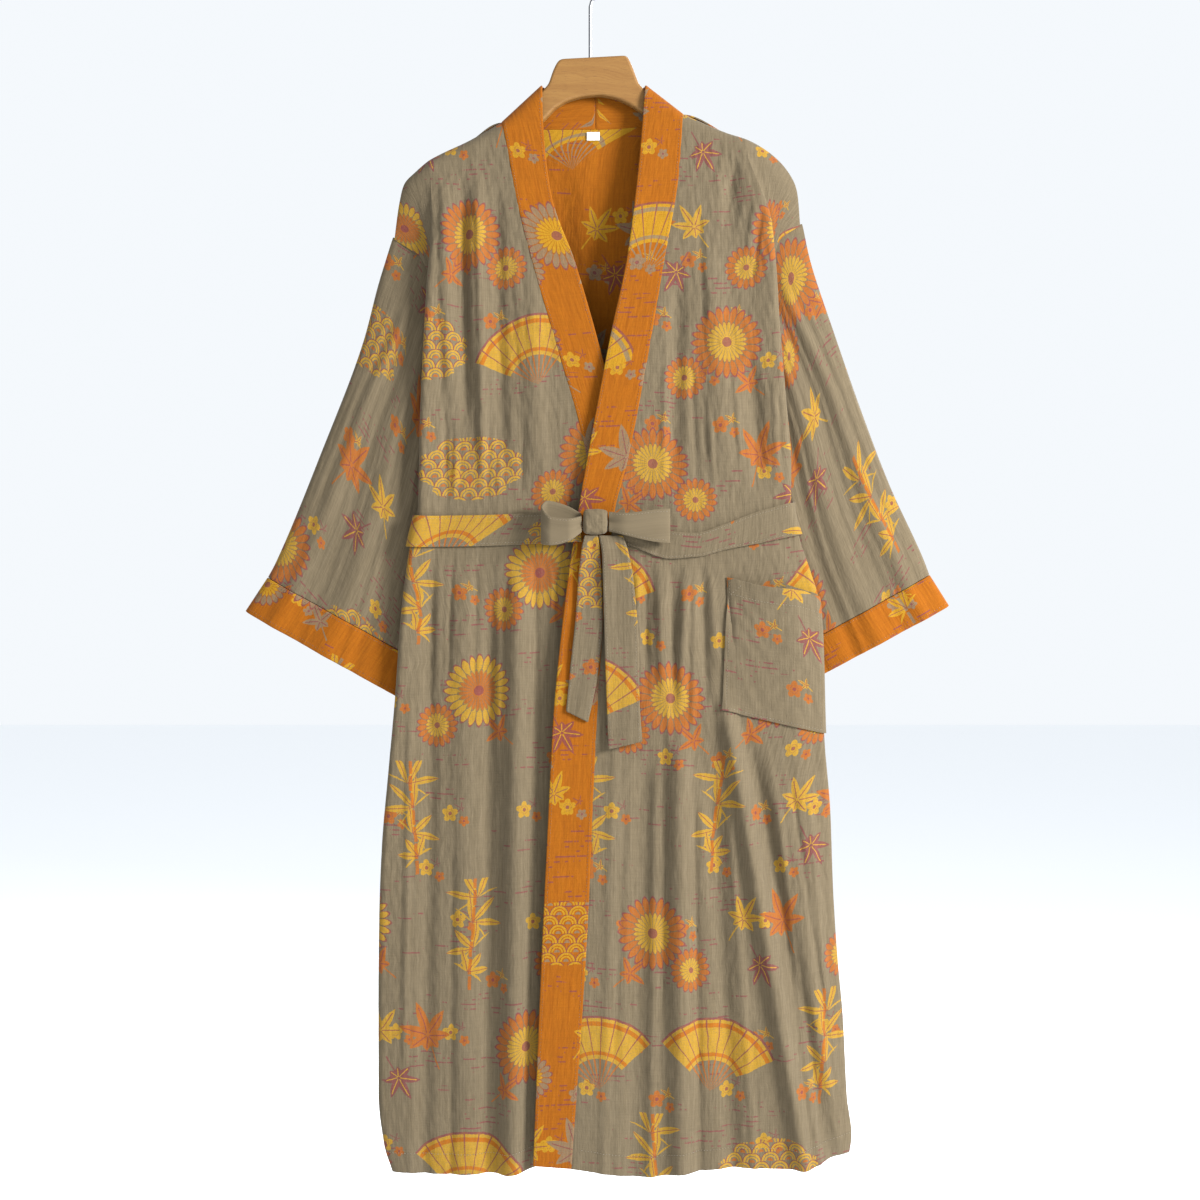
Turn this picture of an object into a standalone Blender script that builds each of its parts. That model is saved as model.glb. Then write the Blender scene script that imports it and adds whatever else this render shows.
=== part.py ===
"""A kimono robe of double-faced cotton, hanging closed and tied on a flat wooden hanger.

Metres, +Z up. The front of the robe faces -Y. The origin is the inside top of the hook's crook, where
a rail would carry it. Tables are in millimetres: x is measured from the hook's axis, to the right of
someone who looks at the front, and drop is measured down from the crook.
"""
import math
from collections import namedtuple

import bmesh
import bpy
from mathutils import Vector

MM = 0.001

# Cloth
WALL = 1.6
BAND_WALL = 2.6
CUFF_WALL = 2.4
BELT_WALL = 2.4
LABEL_WALL = 0.6
SEAM_GAP = 0.3
LAY_GAP = 0.5
EDGE_HALF_GAP = 0.6
SHOULDER_END_HALF_GAP = 1.15
SHOULDER_END = (0.87, 0.93)

# Lengths, down from the crook
NECK_DROP = 181.0
HEM_DROP = 1333.0
SHOULDER_SLOPE_END = 585.0

# The centre back of the neck, and the top of the neckband there
NECK_CENTRE = 6.0
BAND_TOP_DROP = 140.0

# Depths, from the middle plane of the hanger
NECK_DEPTH = 9.6
SHOULDER_ROUND = 12.0
NECK_ROUND = 7.0
FOLD_TURN = 5.0
FOLD_TURN_START, FOLD_TURN_FULL = 240.0, 360.0
FOLD_SIDE = 34.0
FOLD_CALM = 12.0
NECK_CALM = 40.0

# A panel's columns run from s = 0 at its inner edge to the outer fold at CREST, and then behind that
# fold to the side seam at s = 1. Its rows are levels: a level is the drop of the row's inner end, and
# rows slope along the shoulder until SHOULDER_SLOPE_END, where they are level.
CREST = 0.72
FACE_COLUMNS = 13
SIDE_STOPS = (0.1, 0.22, 0.42, 0.66, 0.86, 1.0)
PANEL_ROWS = 24
ROW_SPREAD = 1.25
SHOULDER_BLEND = 150.0
PLEAT_DEEP = 24.0
HEM_REACH = 200.0
SHOULDER_FALLS = (0.0, 0.9, 4.0, 11.0, 22.0)


def table(columns, *rows):
    """Rows with named columns, in the order of the first one."""
    row_type = namedtuple("Row", columns)
    return [row_type(*row) for row in rows]


def read(rows, column, at):
    """A column's value where the first column is `at`, on a smooth curve without overshoot."""
    keys = [row[0] for row in rows]
    values = [getattr(row, column) for row in rows]
    if at <= keys[0]:
        return values[0]
    if at >= keys[-1]:
        return values[-1]
    i = max(k for k in range(len(keys) - 1) if keys[k] <= at)
    slopes = [(values[k + 1] - values[k]) / (keys[k + 1] - keys[k]) for k in range(len(keys) - 1)]

    def tangent(k):
        if k == 0:
            return slopes[0]
        if k == len(keys) - 1:
            return slopes[-1]
        before, after = slopes[k - 1], slopes[k]
        if before * after <= 0:
            return 0.0
        return 2 * before * after / (before + after)

    span = keys[i + 1] - keys[i]
    u = (at - keys[i]) / span
    start, end = tangent(i) * span, tangent(i + 1) * span
    return (values[i] * (2 * u**3 - 3 * u**2 + 1) + start * (u**3 - 2 * u**2 + u)
            + values[i + 1] * (3 * u**2 - 2 * u**3) + end * (u**3 - u**2))


def mix(a, b, share):
    return a + (b - a) * share


def smooth(value):
    """0 to 1 with a soft start and end."""
    u = min(max(value, 0.0), 1.0)
    return u * u * (3 - 2 * u)


def rounded(distance, radius):
    """How far a surface has come round an edge, `distance` from it: 0 on the edge, 1 past the radius."""
    u = min(max(distance / radius, 0.0), 1.0)
    return math.sqrt(1 - (1 - u) ** 2)


# The shoulder line, from the neck over the hanger's arm and down to the sleeve seam. Both the front
# and the back hang from it. "right" and "left" are the wearer's.
SHOULDER = {
    "right": table("s x drop",
                   (0.00, -97, 181), (0.35, -134, 202), (CREST, -177, 223), (0.80, -193, 236),
                   (0.87, -206, 250), (0.93, -211, 270), (1.00, -217, 311)),
    "left": table("s x drop",
                  (0.00, 102, 172), (0.50, 153, 194), (CREST, 172, 200), (0.80, 190, 209),
                  (0.88, 214, 229), (0.94, 229, 257), (1.00, 233, 296)),
}

# The outer fold of each front, which the photograph's outline follows.
OUTER_FOLD = {
    "right": table("drop x",
                   (223, -177), (297, -174), (369, -179), (518, -186), (607, -188), (658, -198),
                   (730, -207), (816, -213), (904, -221), (983, -228), (1062, -231), (1156, -232),
                   (1254, -232), (1310, -226), (1339, -217)),
    "left": table("drop x",
                  (200, 172), (220, 174), (290, 198), (346, 204), (400, 207), (486, 214), (561, 220),
                  (606, 220), (643, 229), (682, 242), (711, 250), (753, 253), (857, 256), (943, 263),
                  (1023, 266), (1102, 271), (1167, 277), (1259, 282), (1299, 287), (1322, 284)),
}

# The armhole seam, then the side seam, which lies in a pleat behind that fold. depth is its
# distance in front of (or behind) the middle plane.
SIDE_SEAM = {
    "right": table("drop x depth",
                   (311, -217, 1.6), (333, -187, 5), (378, -169, 6), (433, -156, 5), (472, -149, 1),
                   (544, -144, 1), (633, -142, 1), (733, -149, 1), (844, -160, 1), (989, -186, 1),
                   (1156, -200, 1), (1339, -192, 1)),
    "left": table("drop x depth",
                  (296, 233, 1.6), (304, 220, 4), (312, 210, 5), (378, 191, 6), (433, 180, 5),
                  (472, 174, 1), (544, 171, 1), (633, 169, 1), (733, 178, 1), (844, 194, 1),
                  (989, 226, 1), (1156, 246, 1), (1322, 254, 1)),
}

# How a front or back runs round its outer fold and behind it to the side seam: inward is the share
# of the way across, closing the share of the way back to the middle plane.
PLEAT = table("q inward closing",
              (0.0, 0.0, 0.0), (0.22, 0.08, 0.0), (0.42, 0.38, 0.03), (0.66, 0.76, 0.16),
              (0.86, 0.97, 0.58), (1.0, 1.0, 1.0))

# The neckband: its seam to the front at each drop, and the point of its free edge across from it.
BAND_STRIPS = 3
BACK_BAND_START = 0.015
BAND = {
    "right": table("drop seam_x free_x free_drop",
                   (181, -97, -53, 140), (206, -92, -52, 181), (276, -79, -43, 262), (353, -59, -16, 340),
                   (441, -33, 10, 430), (547, -4, 38, 538), (644, 11, 56, 640), (822, 31, 76, 820),
                   (1044, 56, 101, 1043), (1333, 81, 126, 1331)),
    "left": table("drop seam_x free_x free_drop",
                  (172, 102, 61, 140), (205, 100, 57, 192), (244, 97, 53, 236), (338, 81, 41, 332),
                  (426, 66, 23, 418), (557, 41, -3, 556), (617, 26, -13, 614), (711, 16, -27, 711),
                  (840, 7, -40, 840), (923, 3, -44, 918), (1043, -2, -50, 1043), (1132, -7, -54, 1132),
                  (1333, -21, -62, 1330)),
}

# Depth of the cloth in front of the middle plane, and of the back behind it. fold is its depth at
# the outer fold.
DEPTH = {
    "right": table("drop face fold",
                   (181, 10, 10), (230, 11, 11), (297, 15, 20), (369, 18, 27), (453, 19, 28),
                   (560, 20, 28), (640, 21, 27), (820, 23, 28), (1000, 24, 25), (1335, 25, 22)),
    "left": table("drop face fold",
                  (172, 10.5, 10.5), (230, 13, 15), (297, 19, 22), (369, 24, 28), (453, 27, 29),
                  (560, 30, 29), (640, 32, 28), (820, 36, 30), (1000, 38, 27), (1335, 39, 24)),
    "back": table("drop face fold",
                  (181, NECK_DEPTH, NECK_DEPTH), (230, 11, 11), (297, 15, 20), (369, 17, 26),
                  (560, 19, 27), (640, 20, 26), (820, 23, 27), (1000, 26, 24), (1335, 28, 22)),
}

# The hem: how much lower or higher than HEM_DROP it hangs.
HEM_WAVE = {
    "right": table("s lower", (0.0, 0), (0.30, -4), (0.42, 6), (0.60, 7), (CREST, 6), (1.0, 2)),
    "left": table("s lower", (0.0, -3), (0.18, 6), (0.30, 0), (0.45, -4), (0.58, -3), (CREST, -16),
                  (1.0, -18)),
    "back": table("s lower", (-1.0, 0), (-CREST, 2), (-0.4, -3), (-0.1, 3), (0.25, -3), (0.5, 2),
                  (CREST, -10), (1.0, -16)),
}

# The main folds: each is a soft ridge (height above 0) or trough on a straight line down the cloth.
FOLD_COLUMNS = "top_x top_drop low_x low_drop half_width height"
FOLDS = {
    "right": table(FOLD_COLUMNS,
                   (-161, 232, -152, 520, 12, 4), (-141, 232, -136, 540, 10, -4),
                   (-125, 225, -116, 600, 10, 4), (-104, 240, -96, 590, 13, -3),
                   (-66, 330, -56, 600, 20, 3), (-172, 660, -182, 1300, 15, -3),
                   (-138, 655, -136, 1339, 24, 3), (-109, 700, -112, 1339, 12, -3),
                   (-78, 655, -84, 1339, 24, 9)),
    "left": table(FOLD_COLUMNS,
                  (160, 208, 152, 330, 15, -4), (128, 300, 150, 600, 22, 3),
                  (97, 330, 92, 600, 14, -3), (172, 420, 190, 606, 16, -4), (61, 655, 62, 830, 8, -3),
                  (76, 655, 80, 850, 8, 3), (90, 655, 92, 820, 7, -3), (106, 655, 98, 860, 9, 3),
                  (122, 655, 128, 840, 8, -3), (97, 830, 100, 1339, 20, 7), (60, 860, 48, 1339, 20, -3),
                  (133, 880, 156, 1339, 17, -4), (143, 800, 232, 1320, 16, 8),
                  (172, 850, 262, 1320, 16, -5)),
    "back": table(FOLD_COLUMNS,
                  (-150, 232, -128, 600, 15, 4), (-110, 230, -92, 560, 15, -3),
                  (-30, 200, -34, 600, 28, 3), (52, 230, 40, 590, 16, -3), (128, 225, 112, 600, 16, 4),
                  (-150, 655, -168, 1339, 20, -4), (-118, 655, -122, 1339, 18, 6),
                  (-84, 655, -76, 1000, 12, -3), (-52, 655, -46, 1339, 22, 6),
                  (-10, 655, 2, 1200, 16, -4), (30, 655, 44, 1339, 20, 6), (70, 655, 88, 1339, 16, -4),
                  (112, 655, 140, 1339, 20, 7), (156, 655, 196, 1339, 18, -4)),
}
FOLD_FADE = 70.0


def behind_fold(s):
    """0 at the outer fold, 1 at the side seam."""
    return (abs(s) - CREST) / (1 - CREST)


def fold_turn(drop):
    """Radius of the turn at the outer fold, which starts below the shoulder."""
    return FOLD_TURN * smooth((drop - FOLD_TURN_START) / (FOLD_TURN_FULL - FOLD_TURN_START))


def fold_height(folds, x, drop):
    """How far the folds lift the cloth at one place."""
    height = 0.0
    for fold in folds:
        way = (drop - fold.top_drop) / (fold.low_drop - fold.top_drop)
        aside = abs(x - mix(fold.top_x, fold.low_x, way)) / fold.half_width
        if aside < 1 and 0 < way:
            fade = smooth((drop - fold.top_drop) / FOLD_FADE)
            if fold.low_drop < HEM_DROP - FOLD_FADE:
                fade *= smooth((fold.low_drop - drop) / FOLD_FADE)
            height += fold.height * fade * math.cos(aside * math.pi / 2) ** 2
    return height


class Front:
    """One front of the robe as a surface: place(s, level) is a point on it."""

    def __init__(self, side):
        self.side = side
        self.depth = DEPTH[side]
        self.folds = FOLDS[side]
        self.facing = -1
        self.turn = -1 if side == "left" else 1
        self.neck = SHOULDER[side][0].drop

    def top(self, s):
        """The shoulder line: where a column starts."""
        return read(SHOULDER[self.side], "x", s), read(SHOULDER[self.side], "drop", s)

    def side_of(self, s):
        return self.side

    def inner_x(self, level):
        return read(BAND[self.side], "seam_x", level)

    def fold_x(self, level, s=CREST):
        return read(OUTER_FOLD[self.side_of(s)], "x", self.drop(math.copysign(CREST, s), level))

    def seam_at(self, level, s):
        seam = SIDE_SEAM[self.side_of(s)]
        drop = self.drop(math.copysign(1.0, s), level)
        return read(seam, "x", drop), read(seam, "depth", drop)

    def drop(self, s, level):
        """The drop of one column at a level."""
        sloping = 1 - smooth((level - self.neck) / (SHOULDER_SLOPE_END - self.neck))
        return level + (self.top(s)[1] - self.neck) * sloping

    def over_edge(self, s, fall):
        """How far the cloth has come over the shoulder's edge."""
        return rounded(fall, SHOULDER_ROUND)

    def row_x(self, s, level):
        """Where a column stands, apart from its start on the shoulder."""
        fold = self.fold_x(level, s)
        if abs(s) <= CREST:
            return mix(self.inner_x(level), fold, abs(s) / CREST)
        return mix(fold, self.seam_at(level, s)[0], self.pleated(s, level, "inward"))

    def pleated(self, s, level, column):
        """PLEAT's share where the seam lies well behind the fold, and a plain slope where it doesn't."""
        q = behind_fold(s)
        inside = abs(self.fold_x(level, s)) - abs(self.seam_at(level, s)[0])
        return mix(q, read(PLEAT, column, q), smooth(inside / PLEAT_DEEP))

    def face_depth(self, x, drop, fold_x):
        """Distance of the face from the middle plane, with its folds."""
        near = abs(fold_x - x)
        depth = mix(read(self.depth, "fold", drop), read(self.depth, "face", drop),
                    smooth(near / FOLD_SIDE))
        calm = smooth(near / FOLD_CALM) * smooth((drop - NECK_DROP) / NECK_CALM)
        depth += calm * fold_height(self.folds, x, drop)
        return depth - fold_turn(drop) * (1 - rounded(near, FOLD_TURN * 1.3))

    def place(self, s, level):
        fall = level - self.neck
        drop = self.drop(s, level)
        away = (self.top(s)[0] - self.row_x(s, self.neck)) * (1 - smooth(fall / SHOULDER_BLEND))
        x = self.row_x(s, level) + away
        if abs(s) <= CREST:
            depth = self.face_depth(x, drop, self.fold_x(level, s))
        else:
            q = behind_fold(s)
            turn = fold_turn(drop)
            layer = read(self.depth, "fold", drop) - turn - turn * smooth(q / SIDE_STOPS[1])
            depth = mix(layer, self.seam_at(level, s)[1], self.pleated(s, level, "closing"))
        near_end = (abs(s) - SHOULDER_END[0]) / (SHOULDER_END[1] - SHOULDER_END[0])
        edge = mix(EDGE_HALF_GAP, SHOULDER_END_HALF_GAP, smooth(near_end))
        depth = mix(edge, depth, self.over_edge(s, fall))
        return Vector((x, self.facing * depth, -drop))

    def normal(self, s, level):
        """Unit vector out of the cloth's face."""
        step_s, step = 0.004, 2.0
        first = -1 if self.side == "back" else 0
        across = self.place(min(s + step_s, 1), level) - self.place(max(s - step_s, first), level)
        down = self.place(s, level + step) - self.place(s, level - step)
        return (across.cross(down) * self.turn).normalized()

    def lifted(self, s, level, height):
        """The point `height` outside the cloth's middle surface."""
        return self.place(s, level) + self.normal(s, level) * height

    def s_at(self, x, level):
        """The column of the face that passes through x."""
        return CREST * (x - self.inner_x(level)) / (self.fold_x(level) - self.inner_x(level))

    def columns(self):
        face = [CREST * (1 - (1 - k / FACE_COLUMNS) ** 1.6) for k in range(FACE_COLUMNS + 1)]
        return face + [CREST + q * (1 - CREST) for q in SIDE_STOPS]

    def levels(self):
        """Levels of the rows: close together over the shoulder's edge, then wider down to the hem."""
        count = PANEL_ROWS - len(SHOULDER_FALLS) + 1
        start = self.neck + SHOULDER_FALLS[-1]
        return ([self.neck + fall for fall in SHOULDER_FALLS]
                + [mix(start, HEM_DROP, (k / count) ** ROW_SPREAD) for k in range(1, count + 1)])

    def grid(self):
        """Rows of points, from the shoulder line to the hem."""
        hem = HEM_WAVE[self.side]

        def wavy(s, level):
            return level + read(hem, "lower", s) * smooth((level - HEM_DROP + HEM_REACH) / HEM_REACH)

        return [[self.place(s, wavy(s, level)) for s in self.columns()] for level in self.levels()]


class Back(Front):
    """The back, from one side seam (s = -1) to the other (s = 1)."""

    NECK = 0.3
    INSET = 4.0

    def __init__(self):
        self.side = "back"
        self.depth = DEPTH["back"]
        self.folds = FOLDS["back"]
        self.facing = 1
        self.turn = 1
        self.neck = SHOULDER["left"][0].drop
        neck = table("s x drop", (-self.NECK, -97, 181), (-0.12, -45, 184), (0.0, NECK_CENTRE, 184),
                     (0.12, 56, 181), (self.NECK, 102, 172))

        def outside_neck(row):
            return mix(self.NECK, CREST, row.s / CREST) if row.s <= CREST else row.s

        right, left = SHOULDER["right"][1:], SHOULDER["left"][1:]
        self.line = ([neck[0]._replace(s=-outside_neck(row), x=row.x, drop=row.drop)
                      for row in reversed(right)] + neck
                     + [neck[0]._replace(s=outside_neck(row), x=row.x, drop=row.drop) for row in left])

    def side_of(self, s):
        return "right" if s < 0 else "left"

    def top(self, s):
        return read(self.line, "x", s), read(self.line, "drop", s)

    def fold_x(self, level, s=CREST):
        outer = super().fold_x(level, s)
        inset = self.INSET * smooth((level - 220) / 60)
        return outer + math.copysign(inset, -s)

    def inner_x(self, level):
        return (self.fold_x(level, -CREST) + self.fold_x(level, CREST)) / 2

    def over_edge(self, s, fall):
        x = self.top(s)[0]
        inside_neck = min(x - SHOULDER["right"][0].x, SHOULDER["left"][0].x - x)
        return mix(rounded(fall, SHOULDER_ROUND), 1.0, rounded(inside_neck, NECK_ROUND))

    def columns(self):
        neck = [self.NECK * k for k in (0.33, 0.66, 0.88, 0.96)] + [self.NECK]
        outer = [mix(self.NECK, CREST, k) for k in (0.2, 0.42, 0.64, 0.82, 0.94, 1.0)]
        half = neck + outer + [CREST + q * (1 - CREST) for q in SIDE_STOPS]
        return [-s for s in reversed(half)] + [0.0] + half


FRONT = {side: Front(side) for side in ("right", "left")}
BACK = Back()

COLLECTION = None


def material(name, colour, roughness, metallic=0.0):
    made = bpy.data.materials.new(name)
    made.use_nodes = True
    shader = made.node_tree.nodes["Principled BSDF"]
    shader.inputs["Base Color"].default_value = (*colour, 1)
    shader.inputs["Roughness"].default_value = roughness
    shader.inputs["Metallic"].default_value = metallic
    made.diffuse_color = (*colour, 1)
    return made


def add_object(name, data, finish):
    piece = bpy.data.objects.new(name, data)
    piece.data.materials.append(finish)
    COLLECTION.objects.link(piece)
    return piece


def cloth(name, rows, wall, finish, closed=False):
    """A sheet through rows of points (mm), closed into rings or not, given its wall by Solidify."""
    mesh = bpy.data.meshes.new(name)
    bm = bmesh.new()
    verts = [[bm.verts.new(point * MM) for point in row] for row in rows]
    count = len(rows[0])
    for upper, lower in zip(verts, verts[1:]):
        for k in range(count if closed else count - 1):
            j = (k + 1) % count
            bm.faces.new((upper[k], lower[k], lower[j], upper[j]))
    bm.to_mesh(mesh)
    bm.free()
    mesh.shade_smooth()
    piece = add_object(name, mesh, finish)
    thicken = piece.modifiers.new("wall", "SOLIDIFY")
    thicken.thickness = wall * MM
    thicken.offset = 0
    thicken.use_even_offset = True
    return piece


def make_fronts_and_back(finish):
    cloth("front_right", FRONT["right"].grid(), WALL, finish)
    cloth("front_left", FRONT["left"].grid(), WALL, finish)
    cloth("back", BACK.grid(), WALL, finish)


def band_edges(side, drop):
    """The seam edge and free edge of the neckband, across from each other, as (x, drop)."""
    rows = BAND[side]
    seam = Vector((read(rows, "seam_x", drop), drop))
    free = Vector((read(rows, "free_x", drop), read(rows, "free_drop", drop)))
    return seam, free


def outer_fold_x(front, drop):
    return read(OUTER_FOLD[front.side], "x", drop)


def band_point(side, seam_drop, across):
    """A point of the neckband on a front: across is 0 at its seam and 1 at its free edge."""
    seam, free = band_edges(side, seam_drop)
    x, drop = seam.lerp(free, across)
    front = FRONT[side]
    depth = front.face_depth(x, max(drop, BAND[side][0].drop), outer_fold_x(front, drop))
    over = rounded(seam_drop - BAND[side][0].drop, SHOULDER_ROUND)
    return Vector((x, -mix(EDGE_HALF_GAP, depth, over), -drop))


def make_neckband(finish):
    """Two strips down the fronts and, behind the neck, two halves that meet at the centre back."""
    shares = [k / BAND_STRIPS for k in range(BAND_STRIPS + 1)]
    for side in ("right", "left"):
        seam, free = band_edges(side, BAND[side][0].drop)
        start = SEAM_GAP / (free - seam).length
        stops = [mix(start, 1, share) for share in shares]
        drops = [-row[0].z for row in FRONT[side].grid()]
        cloth(f"neckband_{side}", [[band_point(side, drop, across) for across in stops] for drop in drops],
              BAND_WALL, finish)

    for side, sign in (("right", -1), ("left", 1)):
        half = [s for s in BACK.columns() if 0 <= s * sign <= BACK.NECK]
        half.sort(key=abs, reverse=True)
        rows = [[back_band_point(side, s, mix(BACK_BAND_START, 1, share)) for share in shares] for s in half]
        cloth(f"neckband_back_{side}", rows, BAND_WALL, finish)


def back_band_point(side, s, across):
    """A point of the neckband behind the neck: across is 0 at its seam and 1 at its top edge."""
    seam, free = band_edges(side, BAND[side][0].drop)
    upper = free.lerp(Vector((NECK_CENTRE, BAND_TOP_DROP)), 1 - abs(s) / BACK.NECK)
    x, drop = Vector(BACK.top(s)).lerp(upper, across)
    if s == 0:
        x += math.copysign(SEAM_GAP / 2, seam.x)
    edge_x = mix(seam.x, free.x, across)
    return Vector((x, mix(EDGE_HALF_GAP, NECK_DEPTH, rounded(abs(x - edge_x), NECK_ROUND)), -drop))


# The sleeves: flat tubes. way runs from the armhole to the cuff, across from the top edge of the
# sleeve to its underside. half is the sleeve's half thickness.
SLEEVE_TOP = {
    "right": table("way x drop", (0.0, -217, 311), (0.13, -233, 357), (0.31, -251, 424),
                   (0.65, -298, 548), (0.96, -349, 671), (1.0, -357, 686)),
    "left": table("way x drop", (0.0, 233, 296), (0.1, 243, 334), (0.32, 271, 417), (0.54, 300, 500),
                  (0.76, 332, 584), (0.96, 370, 667), (1.0, 376, 683)),
}
SLEEVE_UNDER = {
    "right": table("way x drop", (0.0, -153, 462), (0.12, -158, 495), (0.3, -161, 545),
                   (0.6, -163, 640), (0.85, -172, 733), (1.0, -181, 783)),
    "left": table("way x drop", (0.0, 178, 462), (0.12, 183, 492), (0.3, 186, 544), (0.6, 191, 633),
                  (0.85, 207, 733), (1.0, 219, 770)),
}
CUFF_EDGE = {"right": ((-382, 724), (-191, 831)), "left": ((398, 718), (229, 809))}
CUFF_DEPTH = 46.0
SLEEVE_HALF = table("way half", (0.0, 6), (0.2, 9), (0.6, 11), (1.0, 12))
SLEEVE_FOLDS = table("across_top across_low half_width height",
                     (0.20, 0.16, 0.07, 3.0), (0.34, 0.30, 0.07, -2.5), (0.50, 0.46, 0.09, 3.0),
                     (0.66, 0.62, 0.06, -2.0))
SLEEVE_RINGS = 10
ARMHOLE_TUCK = 2.2
ARMHOLE_LEAST = 3.0
ARMHOLE_STEP = 1.0


def armhole(side, across):
    """x, drop and depth of the armhole seam, from the shoulder's end to the underarm."""
    first, last = SIDE_SEAM[side][0].drop, SLEEVE_UNDER[side][0].drop
    drop = mix(first, last, across)
    seam = SIDE_SEAM[side]
    return Vector((read(seam, "x", drop), drop)), read(seam, "depth", drop)


def sleeve_point(side, way, angle):
    """A point of the sleeve's middle surface; way past 1 is on the cuff."""
    across = (1 - math.cos(angle)) / 2
    facing = -1 if math.sin(angle) > 0 else 1
    seam, depth = armhole(side, across)
    inner_way = min(way, 1.0)
    tops, unders = SLEEVE_TOP[side], SLEEVE_UNDER[side]
    top = Vector((read(tops, "x", inner_way), read(tops, "drop", inner_way)))
    under = Vector((read(unders, "x", inner_way), read(unders, "drop", inner_way)))
    flat = top.lerp(under, across)
    bow = seam - Vector((tops[0].x, tops[0].drop)).lerp(Vector((unders[0].x, unders[0].drop)), across)
    x, drop = flat + bow * (1 - smooth(inner_way / 0.5))
    if way > 1:
        edge = Vector(CUFF_EDGE[side][0]).lerp(Vector(CUFF_EDGE[side][1]), across)
        x, drop = Vector((x, drop)).lerp(edge, way - 1)
    full = abs(math.sin(angle)) ** 0.7 * (1 - 0.3 * across)
    half = read(SLEEVE_HALF, "half", inner_way) * full
    for fold in SLEEVE_FOLDS:
        aside = abs(across - mix(fold.across_top, fold.across_low, inner_way)) / fold.half_width
        if aside < 1:
            half += fold.height * smooth(inner_way / 0.25) * math.cos(aside * math.pi / 2) ** 2
    tucked = max(depth - ARMHOLE_TUCK, ARMHOLE_LEAST * full)
    half = mix(tucked, half, smooth(inner_way / 0.16))
    down = Vector((tops[-1].x - tops[0].x, tops[-1].drop - tops[0].drop)).normalized()
    x, drop = Vector((x, drop)) + down * ARMHOLE_STEP * max(1 - inner_way / 0.16, 0)
    return Vector((x, facing * half, -drop))


def sleeve_angles(side):
    """Angles round the sleeve that meet the rows of the front and back at the armhole."""
    front = FRONT[side]
    first, last = SIDE_SEAM[side][0].drop, SLEEVE_UNDER[side][0].drop
    shares = [(front.drop(1, level) - first) / (last - first) for level in front.levels()]
    shares = [0.0] + [share for share in shares if 0.02 < share < 0.96] + [0.97, 1.0]
    half = [math.acos(1 - 2 * share) for share in shares]
    return half + [2 * math.pi - angle for angle in reversed(half[1:-1])]


def make_sleeves(outer, reverse):
    for side in ("right", "left"):
        angles = sleeve_angles(side)
        ways = [(k / SLEEVE_RINGS) ** 1.15 for k in range(SLEEVE_RINGS + 1)]
        cloth(f"sleeve_{side}", [[sleeve_point(side, way, a) for a in angles] for way in ways],
              WALL, outer, closed=True)
        cuff_ways = (1 + 2 * SEAM_GAP / CUFF_DEPTH, 1.5, 2.0)
        cloth(f"cuff_{side}", [[sleeve_point(side, way, a) for a in angles] for way in cuff_ways],
              CUFF_WALL, reverse, closed=True)


# The patch pocket on the front that laps over: its corners, and how far its mouth gapes.
POCKET_EDGE_X = table("v x", (0.0, 150), (1.0, 144))
POCKET_TOP = table("u drop", (0.0, 686), (0.4, 696), (0.8, 701), (1.0, 708))
POCKET_LOW = table("u drop", (0.0, 831), (1.0, 857))
POCKET_GAPE = 8.0
POCKET_LIFT = 2.4
POCKET_ROWS = 8


def make_pocket(finish):
    front = FRONT["left"]
    first = front.s_at(POCKET_EDGE_X[0].x, POCKET_TOP[0].drop)
    shares = [0.0] + [(s - first) / (CREST - first) for s in front.columns() if first + 0.02 < s <= CREST]
    rows = []
    for i in range(POCKET_ROWS + 1):
        v = i / POCKET_ROWS
        row = []
        for u in shares:
            drop = mix(read(POCKET_TOP, "drop", u), read(POCKET_LOW, "drop", u), v)
            s = mix(front.s_at(read(POCKET_EDGE_X, "x", v), drop), CREST, u)
            gape = POCKET_GAPE * math.sin(math.pi * u) * (1 - v) ** 2
            row.append(front.lifted(s, drop, POCKET_LIFT + gape))
        rows.append(row)
    cloth("pocket", rows, WALL, finish)


# The belt: its upper and lower edge. The front stretches are read by x, the rest by the side seams.
BELT_RIGHT = table("x upper lower", (-200, 619, 653), (-120, 618, 652), (-52, 616, 649), (-6, 616, 647))
BELT_LEFT = table("x upper lower", (24, 619, 646), (50, 627, 653), (86, 636, 666), (113, 638, 664),
                  (144, 629, 656), (180, 616, 649), (222, 604, 640))
BELT_SIDE = {"right": (619, 653), "left": (603, 638)}
BELT_LIFT = WALL / 2 + BELT_WALL / 2 + 0.8
BELT_ROWS = 4
BELT_ROUND_LIFT = 1.5
BELT_ROUND_START, BELT_ROUND_SPAN = 0.85, 0.12
BELT_SIDE_HALF_GAP = 1.1
BELT_SEAM_LIFT = 4.5
BELT_OVER_BAND = 0.7
BELT_OVER_BAND_END, BELT_OVER_BAND_FADE = 60.0, 25.0
BELT_CLIMB_START, BELT_CLIMB_END = -90.0, -22.0
BELT_RIGHT_END_XS = (-42, -32, -22, -10)


def belt_point(panel, s, drop):
    """The belt over one column of a panel, standing further off where it goes round a fold."""
    if abs(s) == 1:
        point = panel.place(s, drop)
        out = math.copysign(BELT_SEAM_LIFT, point.x)
        return Vector((point.x + out, panel.facing * BELT_SIDE_HALF_GAP, -drop))
    lift = BELT_LIFT + BELT_ROUND_LIFT * smooth((abs(s) / CREST - BELT_ROUND_START) / BELT_ROUND_SPAN)
    return panel.lifted(s, drop, lift)


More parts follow.
